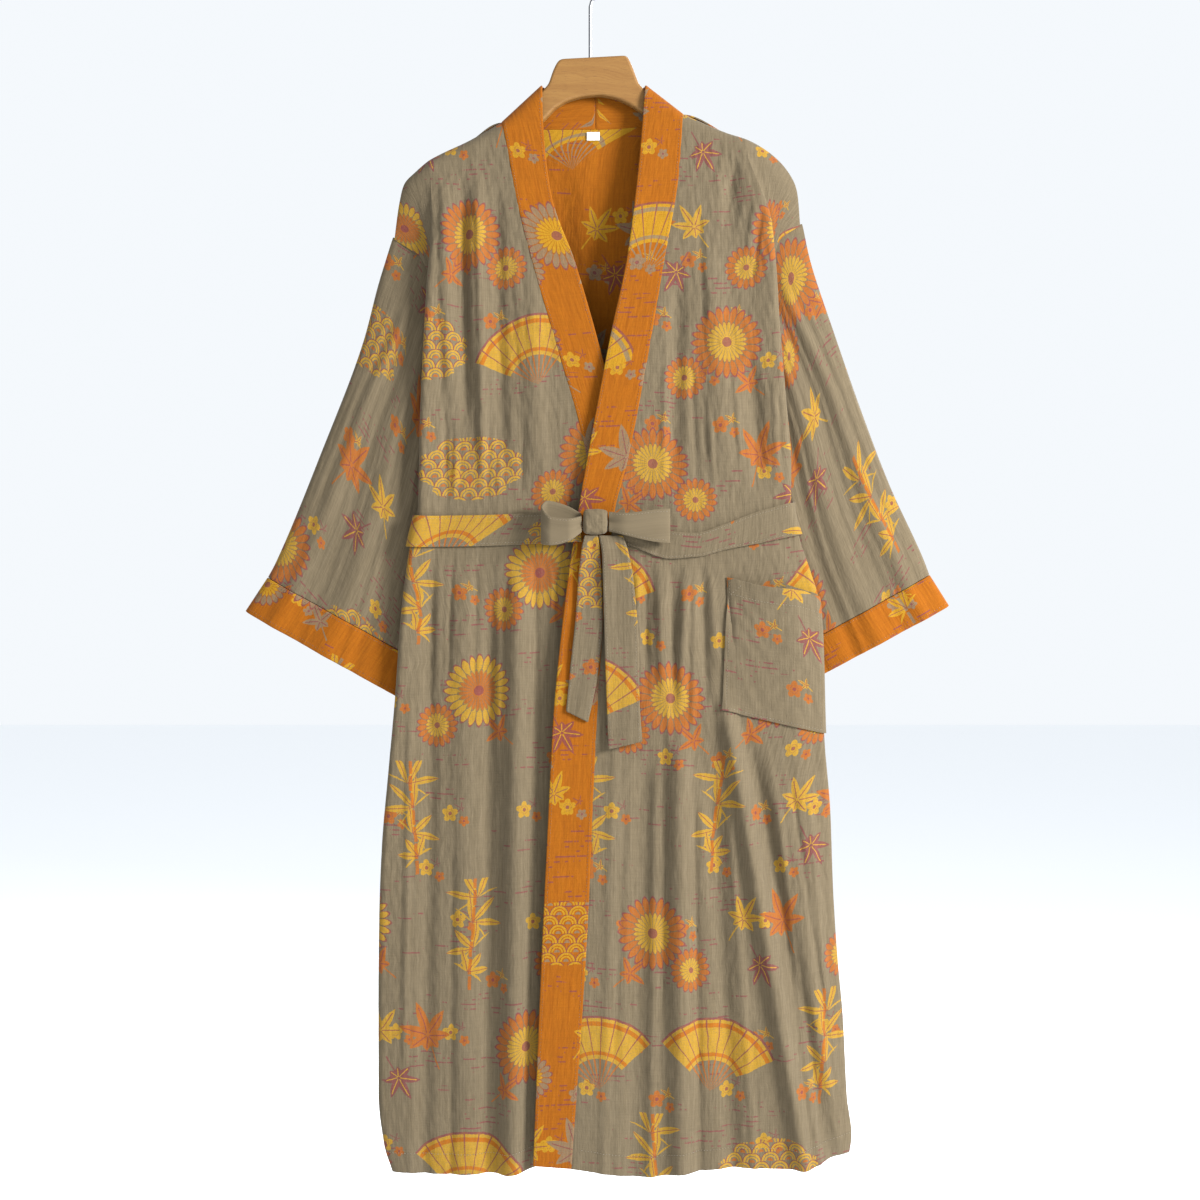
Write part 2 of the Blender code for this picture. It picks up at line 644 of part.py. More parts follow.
def climbing_belt_point(s, x, drop):
    """The belt on the under front, which climbs from there onto the upper neckband."""
    point = belt_point(FRONT["right"], s, drop)
    over = FRONT["left"]
    high = over.face_depth(x, drop, outer_fold_x(over, drop)) + BELT_LIFT + BAND_WALL / 2
    climb = smooth((x - BELT_CLIMB_START) / (BELT_CLIMB_END - BELT_CLIMB_START))
    return Vector((point.x, mix(point.y, -high, climb), point.z))


def make_belt(finish):
    shares = [k / (BELT_ROWS - 1) for k in range(BELT_ROWS)]
    under, over = FRONT["right"], FRONT["left"]
    middle = sum(BELT_SIDE["right"]) / 2

    rows = []
    for share in shares:
        row = []
        for s in reversed(under.columns()):
            x = under.row_x(s, middle)
            if s > CREST:
                row.append(belt_point(under, s, mix(*BELT_SIDE["right"], share)))
            elif x < BELT_RIGHT_END_XS[0]:
                drop = mix(read(BELT_RIGHT, "upper", x), read(BELT_RIGHT, "lower", x), share)
                row.append(climbing_belt_point(s, x, drop))
        for x in BELT_RIGHT_END_XS:
            drop = mix(read(BELT_RIGHT, "upper", x), read(BELT_RIGHT, "lower", x), share)
            row.append(climbing_belt_point(under.s_at(x, drop), x, drop))
        rows.append(row)
    cloth("belt_right", rows, BELT_WALL, finish)

    rows = []
    for share in shares:
        row = []
        for s in over.columns():
            x = over.row_x(s, middle)
            if s > CREST:
                row.append(belt_point(over, s, mix(*BELT_SIDE["left"], share)))
            elif x > BELT_LEFT[0].x:
                drop = mix(read(BELT_LEFT, "upper", x), read(BELT_LEFT, "lower", x), share)
                extra = BELT_OVER_BAND * smooth((BELT_OVER_BAND_END - x) / BELT_OVER_BAND_FADE)
                row.append(belt_point(over, s, drop) - Vector((0, extra, 0)))
        rows.append(row)
    cloth("belt_left", rows, BELT_WALL, finish)

    rows = []
    for share in shares:
        right, left = mix(*BELT_SIDE["right"], share), mix(*BELT_SIDE["left"], share)
        rows.append([belt_point(BACK, s, mix(right, left, smooth((s + 1) / 2))) for s in BACK.columns()])
    cloth("belt_back", rows, BELT_WALL, finish)


# The bow, tied in front of the upper neckband.
KNOT_AT = Vector((6, 0, -626))
KNOT_SIZE = Vector((14, 7, 14))
KNOT_SQUARENESS = 0.5
BOW_DEPTH = 35.2
RIBBON_STOPS = (0.0, 0.33, 0.67, 1.0)
TAIL_ROWS = 8

# Each loop leaves the knot, turns back at its end and returns: depth is in front of BOW_DEPTH.
LOOPS = {
    "right": table("way x depth upper lower", (0.0, -9.2, 9, 618, 636), (0.2, -24, 17, 616, 645),
                   (0.4, -42, 17, 609, 642), (0.5, -51, 11.5, 607, 640), (0.6, -45, 5.5, 606, 639),
                   (0.8, -26, 3.6, 613, 642), (1.0, -9.2, 4.2, 619, 636)),
    "left": table("way x depth upper lower", (0.0, 20.8, 10, 616, 636), (0.2, 40, 15, 617, 641),
                  (0.4, 72, 13, 613, 648), (0.5, 86, 9.5, 612, 649), (0.6, 78, 5.5, 612, 648),
                  (0.8, 42, 4.2, 616, 641), (1.0, 20.8, 4.4, 617, 636)),
}
LOOP_STOPS = (0.0, 0.1, 0.2, 0.3, 0.4, 0.45, 0.5, 0.55, 0.6, 0.7, 0.8, 0.9, 1.0)

# Each tail: its two edges, and its depth in front of BOW_DEPTH.
TAILS = {
    "right": table("drop left_x right_x depth", (640.6, -6, 9, 7), (655, -9, 11, 5), (690, -13, 13, 2.8),
                   (733, -16, 14, 3.2), (790, -22, 9, 4), (838, -26, -2, 4.6)),
    "left": table("drop left_x right_x depth", (640.9, 9.5, 36, 7.5), (660, 13, 42, 8), (687, 14, 47, 8.4),
                  (760, 16, 53, 9), (820, 18, 54, 9), (869, 20, 57, 9.5)),
}


def make_bow(finish):
    mesh = bpy.data.meshes.new("belt_knot")
    bm = bmesh.new()
    bmesh.ops.create_uvsphere(bm, u_segments=16, v_segments=10, radius=1)
    for vert in bm.verts:
        place = Vector([size * math.copysign(abs(value) ** KNOT_SQUARENESS, value)
                        for value, size in zip(vert.co, KNOT_SIZE)])
        vert.co = (place + KNOT_AT - Vector((0, BOW_DEPTH + KNOT_SIZE.y + LAY_GAP, 0))) * MM
    bm.to_mesh(mesh)
    bm.free()
    mesh.shade_smooth()
    add_object("belt_knot", mesh, finish)

    for side, path in LOOPS.items():
        rows = []
        for share in RIBBON_STOPS:
            rows.append([Vector((read(path, "x", way), -BOW_DEPTH - read(path, "depth", way),
                                 -mix(read(path, "upper", way), read(path, "lower", way), share)))
                         for way in LOOP_STOPS])
        cloth(f"bow_loop_{side}", rows, BELT_WALL, finish)

    for side, path in TAILS.items():
        rows = []
        top, low = path[0].drop, path[-1].drop
        for k in range(TAIL_ROWS + 1):
            drop = mix(top, low, k / TAIL_ROWS)
            rows.append([Vector((mix(read(path, "left_x", drop), read(path, "right_x", drop), u),
                                 -BOW_DEPTH - read(path, "depth", drop), -drop))
                         for u in RIBBON_STOPS])
        cloth(f"belt_tail_{side}", rows, BELT_WALL, finish)


LABEL_LEFT, LABEL_RIGHT, LABEL_UPPER, LABEL_LOWER = -3.5, 10.5, 189.0, 198.0


def make_label(finish):
    depth = NECK_DEPTH - WALL / 2 - LAY_GAP - LABEL_WALL / 2
    rows = [[Vector((x, depth, -drop)) for x in (LABEL_LEFT, LABEL_RIGHT)]
            for drop in (LABEL_UPPER, LABEL_LOWER)]
    cloth("neck_label", rows, LABEL_WALL, finish)


# The hanger: a flat board. Its top edge lies under the neckband's folds and the shoulders.
HANGER_HALF = 6.0
HANGER_ROUND = 3.0
HANGER_UNDER_CLOTH = 3.2
HANGER_UNDER_BAND = 6.5
ARM_HEIGHT = 28.0
HUMP = {"right": [(-34, 111), (-38, 117), (-42, 126), (-46, 139)],
        "left": [(41, 107), (45, 115), (49, 125), (54, 139)]}
ARCH = [(-51, 179), (-38, 165), (-24, 157), (-9, 153), (10, 151), (27, 154), (43, 161), (60, 172)]
ARM_ENDS = {"right": -176, "left": 180}


def cloth_top(x):
    """The drop of the cloth's upper edge above the hanger's arm."""
    side = "right" if x < 0 else "left"
    neck = BAND[side][0]
    points = [(neck.free_x, neck.free_drop)] + [(row.x, row.drop) for row in SHOULDER[side]]
    points.sort()
    return read(table("x drop", *points), "drop", x)


def make_hanger(wood):
    outline = []
    arms = {"right": [-58, -67, -80, -97, -115, -134, -155], "left": [66, 75, 88, 102, 120, 138, 155]}
    for side, sign in (("left", 1), ("right", -1)):
        end = ARM_ENDS[side]
        neck = abs(BAND[side][0].seam_x)
        upper = []
        for x in arms[side] + [end - sign * 4]:
            below = mix(HANGER_UNDER_BAND, HANGER_UNDER_CLOTH, smooth((abs(x) - neck + 5) / 10))
            upper.append((x, cloth_top(x) + below))
        last = cloth_top(end)
        tip = [(end + sign * 2, last + 8), (end + sign * 4, last + 15), (end + sign * 1, last + 23)]
        lower = [(x, cloth_top(x) + HANGER_UNDER_CLOTH + ARM_HEIGHT) for x in reversed(arms[side][3:])]
        half = HUMP[side] + upper + tip + lower
        outline.append(half if side == "left" else list(reversed(half)))
    points = outline[0] + list(reversed(ARCH)) + outline[1]

    curve = bpy.data.curves.new("hanger", "CURVE")
    curve.dimensions = "2D"
    curve.fill_mode = "BOTH"
    curve.extrude = (HANGER_HALF - HANGER_ROUND) * MM
    curve.bevel_depth = HANGER_ROUND * MM
    curve.bevel_resolution = 1
    curve.offset = -HANGER_ROUND * MM
    spline = curve.splines.new("POLY")
    spline.points.add(len(points) - 1)
    for point, (x, drop) in zip(spline.points, points):
        point.co = (x * MM, -drop * MM, 0, 1)
    spline.use_cyclic_u = True
    board = add_object("hanger", curve, wood)
    board.rotation_euler = (math.pi / 2, 0, 0)
    return board


# The hook: a straight shank out of the hanger, and a crook whose inside top is the origin.
HOOK_WIRE = 1.75
HOOK_RADIUS = 20.0
HOOK_FOOT_DROP = 108.7
HOOK_NECK = [(0, 92), (0, 70), (0, 52), (1.6, 46), (6.5, 40.6)]
HOOK_STEPS = 16
HOOK_START, HOOK_END = math.radians(-48), math.radians(200)


def make_hook(steel):
    ring = HOOK_RADIUS + HOOK_WIRE
    points = [(0, HOOK_FOOT_DROP)] + HOOK_NECK
    for k in range(HOOK_STEPS + 1):
        angle = mix(HOOK_START, HOOK_END, k / HOOK_STEPS)
        points.append((ring * math.cos(angle), HOOK_RADIUS - ring * math.sin(angle)))
    curve = bpy.data.curves.new("hanger_hook", "CURVE")
    curve.dimensions = "3D"
    curve.bevel_depth = HOOK_WIRE * MM
    curve.bevel_resolution = 2
    curve.use_fill_caps = True
    spline = curve.splines.new("POLY")
    spline.points.add(len(points) - 1)
    for point, (x, drop) in zip(spline.points, points):
        point.co = (x * MM, 0, -drop * MM, 1)
    add_object("hanger_hook", curve, steel)


def main():
    global COLLECTION
    for old in list(bpy.data.objects):
        bpy.data.objects.remove(old)
    COLLECTION = bpy.data.collections.new("kimono_robe_on_hanger")
    bpy.context.scene.collection.children.link(COLLECTION)

    outer = material("printed_cotton", (0.36, 0.29, 0.17), 0.85)
    reverse = material("orange_reverse", (0.62, 0.22, 0.03), 0.85)
    label = material("woven_label", (0.85, 0.84, 0.8), 0.7)
    wood = material("hanger_wood", (0.58, 0.34, 0.13), 0.45)
    steel = material("hook_steel", (0.35, 0.35, 0.36), 0.3, metallic=1.0)

    make_fronts_and_back(outer)
    make_neckband(reverse)
    make_sleeves(outer, reverse)
    make_pocket(outer)
    make_belt(outer)
    make_bow(outer)
    make_label(label)
    make_hanger(wood)
    make_hook(steel)


main()
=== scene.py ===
# %% [markdown]
# # A kimono robe on a wooden hanger
#
# A lesson in dressing a garment: a lapped and tied robe of double-faced cotton hangs on a flat wooden
# hanger. One face of the cloth is taupe with a woven design, the other is orange, and the orange face is
# turned out on the neckband and the cuffs. Lengths are in millimetres until the meshes are made. x is
# measured from the hook's axis, to the right of someone who faces the robe, and drop is measured down
# from the inside top of the hook's crook. "right" and "left" in names are the wearer's.

# %% Load the frame
import math
from collections import namedtuple

import bpy
import numpy as np
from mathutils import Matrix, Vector


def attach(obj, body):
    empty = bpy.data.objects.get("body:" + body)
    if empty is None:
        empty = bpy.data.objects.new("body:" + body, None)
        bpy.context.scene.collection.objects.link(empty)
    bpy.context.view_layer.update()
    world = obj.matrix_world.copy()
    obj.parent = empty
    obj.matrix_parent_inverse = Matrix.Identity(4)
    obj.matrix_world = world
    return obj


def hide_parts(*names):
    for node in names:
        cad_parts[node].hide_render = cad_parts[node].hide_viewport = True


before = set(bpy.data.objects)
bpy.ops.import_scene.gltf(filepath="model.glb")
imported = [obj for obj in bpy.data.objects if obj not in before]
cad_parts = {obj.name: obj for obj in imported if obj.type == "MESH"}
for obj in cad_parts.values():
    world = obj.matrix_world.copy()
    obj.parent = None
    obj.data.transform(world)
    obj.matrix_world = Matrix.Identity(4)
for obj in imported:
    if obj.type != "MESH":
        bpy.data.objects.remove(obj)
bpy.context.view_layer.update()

MM = 0.001

# %% [markdown]
# ## Camera, light and floor
#
# The robe was looked at straight from the front, level with its middle. A 50 mm lens 1.85 m away gives
# the same frame. A window on the right lit the white room: here one large area light stands on the
# right, a weak one on the left, another behind the robe parts its edges from the ground, and a bright
# even world stands for the white walls. A pale floor lies under the hem. Small hard lights would show
# each crease as a line, and cloth is lit best by large soft sources.

# %% Camera
LOOK_AT = (0.011, 0.0, -0.711)
CAMERA_DISTANCE = 1.852

camera_data = bpy.data.cameras.new("camera")
camera_data.lens = 50
camera_data.sensor_width = 36
camera = bpy.data.objects.new("camera", camera_data)
bpy.context.scene.collection.objects.link(camera)
camera.location = (LOOK_AT[0], -CAMERA_DISTANCE, LOOK_AT[2])
camera.rotation_euler = (math.radians(90), 0, 0)
bpy.context.scene.camera = camera
print("camera:", camera_data.lens, "mm lens,", CAMERA_DISTANCE, "m away")

# %% Lights and world
WORLD_WHITE, WORLD_STRENGTH = (0.93, 0.965, 1.0, 1), 0.98
LIGHTS = [
    ("key", (2.5, -1.7, 0.3), 1.0, 300),
    ("fill", (-2.3, -2.0, 0.7), 2.0, 14),
    ("back", (1.2, 2.4, 0.8), 1.6, 130),
]


def add_light(name, place, size, power):
    data = bpy.data.lights.new(name, "AREA")
    data.size = size
    data.energy = power
    light = bpy.data.objects.new(name, data)
    bpy.context.scene.collection.objects.link(light)
    light.location = place
    light.rotation_euler = (Vector(LOOK_AT) - Vector(place)).to_track_quat("-Z", "Y").to_euler()
    return light


for light_row in LIGHTS:
    add_light(*light_row)

world = bpy.data.worlds.new("white_room")
bpy.context.scene.world = world
world.use_nodes = True
background = world.node_tree.nodes["Background"]
background.inputs["Color"].default_value = WORLD_WHITE
background.inputs["Strength"].default_value = WORLD_STRENGTH
bpy.context.scene.view_settings.view_transform = "Standard"
print("lights:", [row[0] for row in LIGHTS])

# %% Floor
FLOOR_DROP = 1.9
FLOOR_HALF = 14.0
FLOOR_WHITE = (0.93, 0.95, 0.97, 1)
bpy.ops.object.select_all(action="DESELECT")
bpy.ops.mesh.primitive_plane_add(size=2 * FLOOR_HALF, location=(0, 0, -FLOOR_DROP))
floor = bpy.context.object
floor.name = "floor"
floor_paint = bpy.data.materials.new("white_floor")
floor_paint.use_nodes = True
floor_shader = floor_paint.node_tree.nodes["Principled BSDF"]
floor_shader.inputs["Base Color"].default_value = FLOOR_WHITE
floor_shader.inputs["Roughness"].default_value = 0.9
floor.data.materials.append(floor_paint)
print("floor:", FLOOR_DROP, "m below the hook")

# %% [markdown]
# ## Reading a short table as a smooth curve
#
# The garment's outline changes slowly from the shoulder to the hem, so each edge is a short table: a row
# for each place where a maker would measure it. `read` runs a smooth curve through a column. A spline
# that overshoots would make bulges, so the curve is monotone between its rows. It takes whole arrays,
# because the panels below have tens of thousands of points.

# %% Tables and curves
def table(columns, *rows):
    """Rows with named columns, in the order of the first one."""
    row_type = namedtuple("Row", columns)
    return [row_type(*row) for row in rows]


def read(rows, column, at):
    """A column's values where the first column is `at`, on a smooth curve without overshoot."""
    at = np.asarray(at, float)
    keys = np.array([row[0] for row in rows], float)
    values = np.array([getattr(row, column) for row in rows], float)
    slopes = np.diff(values) / np.diff(keys)
    before, after = slopes[:-1], slopes[1:]
    same_way = before * after > 0
    middle = np.where(same_way, 2 * before * after / np.where(same_way, before + after, 1), 0)
    tangents = np.concatenate([slopes[:1], middle, slopes[-1:]])
    i = np.clip(np.searchsorted(keys, at, side="right") - 1, 0, len(keys) - 2)
    span = keys[i + 1] - keys[i]
    u = np.clip((at - keys[i]) / span, 0, 1)
    return (values[i] * (2 * u**3 - 3 * u**2 + 1) + tangents[i] * span * (u**3 - 2 * u**2 + u)
            + values[i + 1] * (3 * u**2 - 2 * u**3) + tangents[i + 1] * span * (u**3 - u**2))


# %% Blends and rounded edges
def mix(a, b, share):
    return a + (b - a) * share


def smooth(value):
    """0 to 1 with a soft start and end."""
    u = np.clip(value, 0.0, 1.0)
    return u * u * (3 - 2 * u)


def rounded(distance, radius):
    """How far a surface has come round an edge: 0 on the edge, 1 past the radius."""
    u = np.clip(distance / radius, 0.0, 1.0)
    return np.sqrt(1 - (1 - u) ** 2)


print("an edge of 2 mm, at 0, 1 and 2 mm:", rounded(np.array([0, 1, 2]), 2).round(2))

# %% [markdown]
# ## The cut of the robe, as it hangs
#
# These tables are the robe's pattern, laid over the hanger: the shoulder line, the outer fold that the
# silhouette follows, the side seam in the pleat behind that fold, the neckband's seam and free edge,
# the depth of each layer, and the wave of the hem. They could be read off the frame's solids, but a
# table can be made finer anywhere, and the stitching and the print need to know where each edge runs.

# %% Sizes of the cloth
WALL = 1.6
BAND_WALL = 2.6
CUFF_WALL = 2.4
BELT_WALL = 2.4
SEAM_GAP = 0.3
EDGE_HALF_GAP = 0.6
SHOULDER_END_HALF_GAP = 1.15
SHOULDER_END = (0.87, 0.93)
HEM_DROP = 1333.0
SHOULDER_SLOPE_END = 585.0
NECK_DROP = 181.0
NECK_CENTRE = 6.0
BAND_TOP_DROP = 140.0
NECK_DEPTH = 9.6
SHOULDER_ROUND = 12.0
NECK_ROUND = 7.0
FOLD_TURN = 5.0
FOLD_TURN_START, FOLD_TURN_FULL = 240.0, 360.0
FOLD_SIDE = 34.0
FOLD_CALM = 12.0
NECK_CALM = 40.0
CREST = 0.72
FOLD_GAIN, CREASE_GAIN = 1.35, 1.45
PLEAT_TURN_END = 0.1
SHOULDER_BLEND = 150.0
PLEAT_DEEP = 24.0
HEM_REACH = 200.0
FOLD_FADE = 70.0
print("walls in mm: cloth", WALL, "band", BAND_WALL, "cuff", CUFF_WALL, "belt", BELT_WALL)

# %% Outline tables
SHOULDER = {
    "right": table("s x drop",
                   (0.00, -97, 181), (0.35, -134, 202), (CREST, -177, 223), (0.80, -193, 236),
                   (0.87, -206, 250), (0.93, -211, 270), (1.00, -217, 311)),
    "left": table("s x drop",
                  (0.00, 102, 172), (0.50, 153, 194), (CREST, 172, 200), (0.80, 190, 209),
                  (0.88, 214, 229), (0.94, 229, 257), (1.00, 233, 296)),
}
OUTER_FOLD = {
    "right": table("drop x",
                   (223, -177), (297, -174), (369, -179), (518, -186), (607, -188), (658, -198),
                   (730, -207), (816, -213), (904, -221), (983, -228), (1062, -231), (1156, -232),
                   (1254, -232), (1310, -226), (1339, -217)),
    "left": table("drop x",
                  (200, 172), (220, 174), (290, 198), (346, 204), (400, 207), (486, 214), (561, 220),
                  (606, 220), (643, 229), (682, 242), (711, 250), (753, 253), (857, 256), (943, 263),
                  (1023, 266), (1102, 271), (1167, 277), (1259, 282), (1299, 287), (1322, 284)),
}
SIDE_SEAM = {
    "right": table("drop x depth",
                   (311, -217, 1.6), (333, -187, 5), (378, -169, 6), (433, -156, 5), (472, -149, 1),
                   (544, -144, 1), (633, -142, 1), (733, -149, 1), (844, -160, 1), (989, -186, 1),
                   (1156, -200, 1), (1339, -192, 1)),
    "left": table("drop x depth",
                  (296, 233, 1.6), (304, 220, 4), (312, 210, 5), (378, 191, 6), (433, 180, 5),
                  (472, 174, 1), (544, 171, 1), (633, 169, 1), (733, 178, 1), (844, 194, 1),
                  (989, 226, 1), (1156, 246, 1), (1322, 254, 1)),
}
print("outline rows:", {side: len(SHOULDER[side]) + len(OUTER_FOLD[side]) for side in SHOULDER})

# %% Pleat, neckband, depth and hem
PLEAT = table("q inward closing",
              (0.0, 0.0, 0.0), (0.22, 0.08, 0.0), (0.42, 0.38, 0.03), (0.66, 0.76, 0.16),
              (0.86, 0.97, 0.58), (1.0, 1.0, 1.0))
BAND = {
    "right": table("drop seam_x free_x free_drop",
                   (181, -97, -53, 140), (206, -92, -52, 181), (276, -79, -43, 262), (353, -59, -16, 340),
                   (441, -33, 10, 430), (547, -4, 38, 538), (644, 11, 56, 640), (822, 31, 76, 820),
                   (1044, 56, 101, 1043), (1333, 81, 126, 1331)),
    "left": table("drop seam_x free_x free_drop",
                  (172, 102, 61, 140), (205, 100, 57, 192), (244, 97, 53, 236), (338, 81, 41, 332),
                  (426, 66, 23, 418), (557, 41, -3, 556), (617, 26, -13, 614), (711, 16, -27, 711),
                  (840, 7, -40, 840), (923, 3, -44, 918), (1043, -2, -50, 1043), (1132, -7, -54, 1132),
                  (1333, -21, -62, 1330)),
}
DEPTH = {
    "right": table("drop face fold",
                   (181, 10, 10), (230, 11, 11), (297, 15, 20), (369, 18, 27), (453, 19, 28),
                   (560, 20, 28), (640, 21, 27), (820, 23, 28), (1000, 24, 25), (1335, 25, 22)),
    "left": table("drop face fold",
                  (172, 10.5, 10.5), (230, 13, 15), (297, 19, 22), (369, 24, 28), (453, 27, 29),
                  (560, 30, 29), (640, 32, 28), (820, 36, 30), (1000, 38, 27), (1335, 39, 24)),
    "back": table("drop face fold",
                  (181, NECK_DEPTH, NECK_DEPTH), (230, 11, 11), (297, 15, 20), (369, 17, 26),
                  (560, 19, 27), (640, 20, 26), (820, 23, 27), (1000, 26, 24), (1335, 28, 22)),
}
HEM_WAVE = {
    "right": table("s lower", (0.0, 0), (0.30, -4), (0.42, 6), (0.60, 7), (CREST, 6), (1.0, 2)),
    "left": table("s lower", (0.0, -3), (0.18, 6), (0.30, 0), (0.45, -4), (0.58, -3), (CREST, -16),
                  (1.0, -18)),
    "back": table("s lower", (-1.0, 0), (-CREST, 2), (-0.4, -3), (-0.1, 3), (0.25, -3), (0.5, 2),
                  (CREST, -10), (1.0, -16)),
}
print("deepest face in mm:", {side: max(row.face for row in rows) for side, rows in DEPTH.items()})

# %% [markdown]
# ## Folds and creases
#
# Hanging cotton falls in a few long soft folds, and the belt gathers it into short ones. A cloth
# simulation would find some folds, but not these, so each is placed one by one: a ridge (height above 0)
# or a trough on a line down the cloth. The first rows are the large folds of the frame's solids. The
# finer creases after them are uneven in length and depth, and the back gets similar ones.

# %% Fold tables
FOLD_COLUMNS = "top_x top_drop low_x low_drop half_width height"
FOLDS = {
    "right": table(FOLD_COLUMNS,
                   (-161, 232, -152, 520, 12, 4), (-141, 232, -136, 540, 10, -4),
                   (-125, 225, -116, 600, 10, 4), (-104, 240, -96, 590, 13, -3),
                   (-66, 330, -56, 600, 20, 3), (-172, 660, -182, 1300, 15, -3),
                   (-138, 655, -136, 1339, 24, 3), (-109, 700, -112, 1339, 12, -3),
                   (-78, 655, -84, 1339, 24, 9)),
    "left": table(FOLD_COLUMNS,
                  (160, 208, 152, 330, 15, -4), (128, 300, 150, 600, 22, 3),
                  (97, 330, 92, 600, 14, -3), (172, 420, 190, 606, 16, -4), (61, 655, 62, 830, 8, -3),
                  (76, 655, 80, 850, 8, 3), (90, 655, 92, 820, 7, -3), (106, 655, 98, 860, 9, 3),
                  (122, 655, 128, 840, 8, -3), (97, 830, 100, 1339, 20, 7), (60, 860, 48, 1339, 20, -3),
                  (133, 880, 156, 1339, 17, -4), (143, 800, 232, 1320, 16, 8),
                  (172, 850, 262, 1320, 16, -5)),
    "back": table(FOLD_COLUMNS,
                  (-150, 232, -128, 600, 15, 4), (-110, 230, -92, 560, 15, -3),
                  (-30, 200, -34, 600, 28, 3), (52, 230, 40, 590, 16, -3), (128, 225, 112, 600, 16, 4),
                  (-150, 655, -168, 1339, 20, -4), (-118, 655, -122, 1339, 18, 6),
                  (-84, 655, -76, 1000, 12, -3), (-52, 655, -46, 1339, 22, 6),
                  (-10, 655, 2, 1200, 16, -4), (30, 655, 44, 1339, 20, 6), (70, 655, 88, 1339, 16, -4),
                  (112, 655, 140, 1339, 20, 7), (156, 655, 196, 1339, 18, -4)),
}

# %% Crease tables
CREASES = {
    "right": table(FOLD_COLUMNS,
                   (-150, 250, -146, 430, 5, -1.4), (-133, 262, -127, 480, 6, 1.4),
                   (-84, 300, -74, 470, 7, 1.0), (-160, 480, -158, 625, 6, -1.6),
                   (-146, 500, -149, 628, 5, 1.5), (-112, 470, -113, 625, 6, -1.6),
                   (-97, 520, -101, 628, 5, 1.4), (-72, 500, -78, 622, 6, -1.4),
                   (-46, 520, -58, 620, 5, 1.2), (-30, 560, -44, 624, 4, -1.0),
                   (-165, 645, -170, 860, 7, 1.6), (-150, 648, -156, 820, 5, -1.6),
                   (-124, 646, -128, 830, 6, -1.5), (-100, 648, -101, 900, 6, 1.6),
                   (-88, 646, -94, 790, 4, -1.2), (-62, 648, -58, 900, 7, -1.8),
                   (-44, 646, -36, 800, 6, 1.4), (-28, 650, -18, 780, 5, -1.2),
                   (-196, 800, -204, 1250, 7, 1.6), (-150, 950, -152, 1339, 6, -1.2),
                   (-95, 900, -102, 1339, 7, -1.6), (-58, 940, -62, 1339, 8, 1.4),
                   (-40, 1000, -38, 1339, 7, -1.2)),
    "left": table(FOLD_COLUMNS,
                  (176, 214, 150, 300, 6, 1.6), (168, 212, 143, 288, 5, -1.5),
                  (150, 204, 134, 282, 6, 1.2), (186, 250, 168, 360, 6, 1.6),
                  (192, 262, 176, 380, 5, -1.4), (119, 260, 126, 450, 7, -1.2),
                  (84, 420, 80, 590, 6, 1.2), (110, 430, 118, 610, 6, -1.4),
                  (128, 470, 137, 615, 5, 1.4), (157, 440, 168, 600, 6, 1.3),
                  (200, 440, 206, 600, 6, 1.2), (180, 520, 181, 606, 5, -1.3),
                  (52, 655, 50, 800, 4, 1.4), (68, 655, 70, 780, 4, -1.2), (83, 655, 86, 900, 4, 1.3),
                  (98, 655, 95, 800, 4, -1.4), (114, 655, 112, 880, 5, 1.5),
                  (130, 655, 140, 800, 5, 1.2), (146, 655, 160, 790, 5, -1.3),
                  (72, 860, 66, 1339, 7, 1.5), (112, 900, 121, 1339, 6, -1.6),
                  (84, 880, 80, 1200, 5, -1.3), (28, 820, 14, 1339, 9, 1.3), (40, 900, 26, 1250, 6, -1.1),
                  (150, 900, 180, 1339, 7, 1.4), (200, 900, 246, 1300, 7, 1.6),
                  (215, 880, 268, 1250, 6, -1.4), (236, 900, 262, 1180, 6, 1.3)),
    "back": table(FOLD_COLUMNS,
                  (-140, 240, -126, 420, 6, -1.4), (-92, 240, -84, 470, 7, 1.3),
                  (-60, 260, -58, 520, 6, -1.1), (80, 240, 72, 480, 7, 1.3),
                  (106, 235, 98, 440, 6, -1.4), (148, 240, 130, 420, 6, 1.3),
                  (-150, 520, -156, 615, 5, 1.3), (-104, 500, -110, 612, 6, -1.4),
                  (-50, 520, -54, 612, 5, 1.2), (10, 510, 12, 608, 6, -1.3), (64, 520, 60, 606, 5, 1.2),
                  (118, 510, 126, 604, 6, -1.3), (-160, 655, -170, 850, 6, 1.4),
                  (-134, 655, -138, 800, 5, -1.3), (-66, 655, -64, 900, 6, -1.5),
                  (-28, 655, -30, 820, 5, 1.3), (14, 655, 20, 880, 6, 1.4), (52, 655, 60, 800, 5, -1.3),
                  (90, 655, 104, 900, 6, 1.4), (136, 655, 160, 860, 6, -1.4),
                  (-96, 900, -100, 1339, 7, -1.4), (-22, 900, -24, 1339, 7, 1.3),
                  (60, 900, 74, 1339, 7, 1.2), (128, 950, 160, 1339, 7, -1.3)),
}


# %% Height of the folds
def stronger(folds, gain):
    return [fold._replace(height=fold.height * gain) for fold in folds]


def folds_of(side):
    """The large folds and the fine creases of a panel, as deep as they stand in the cloth."""
    return stronger(FOLDS[side], FOLD_GAIN) + stronger(CREASES[side], CREASE_GAIN)


def ridge(aside):
    """The rounded profile of a fold: 1 on its line and 0 from aside = 1 on."""
    return np.where(aside < 1, np.cos(aside * math.pi / 2) ** 2, 0)


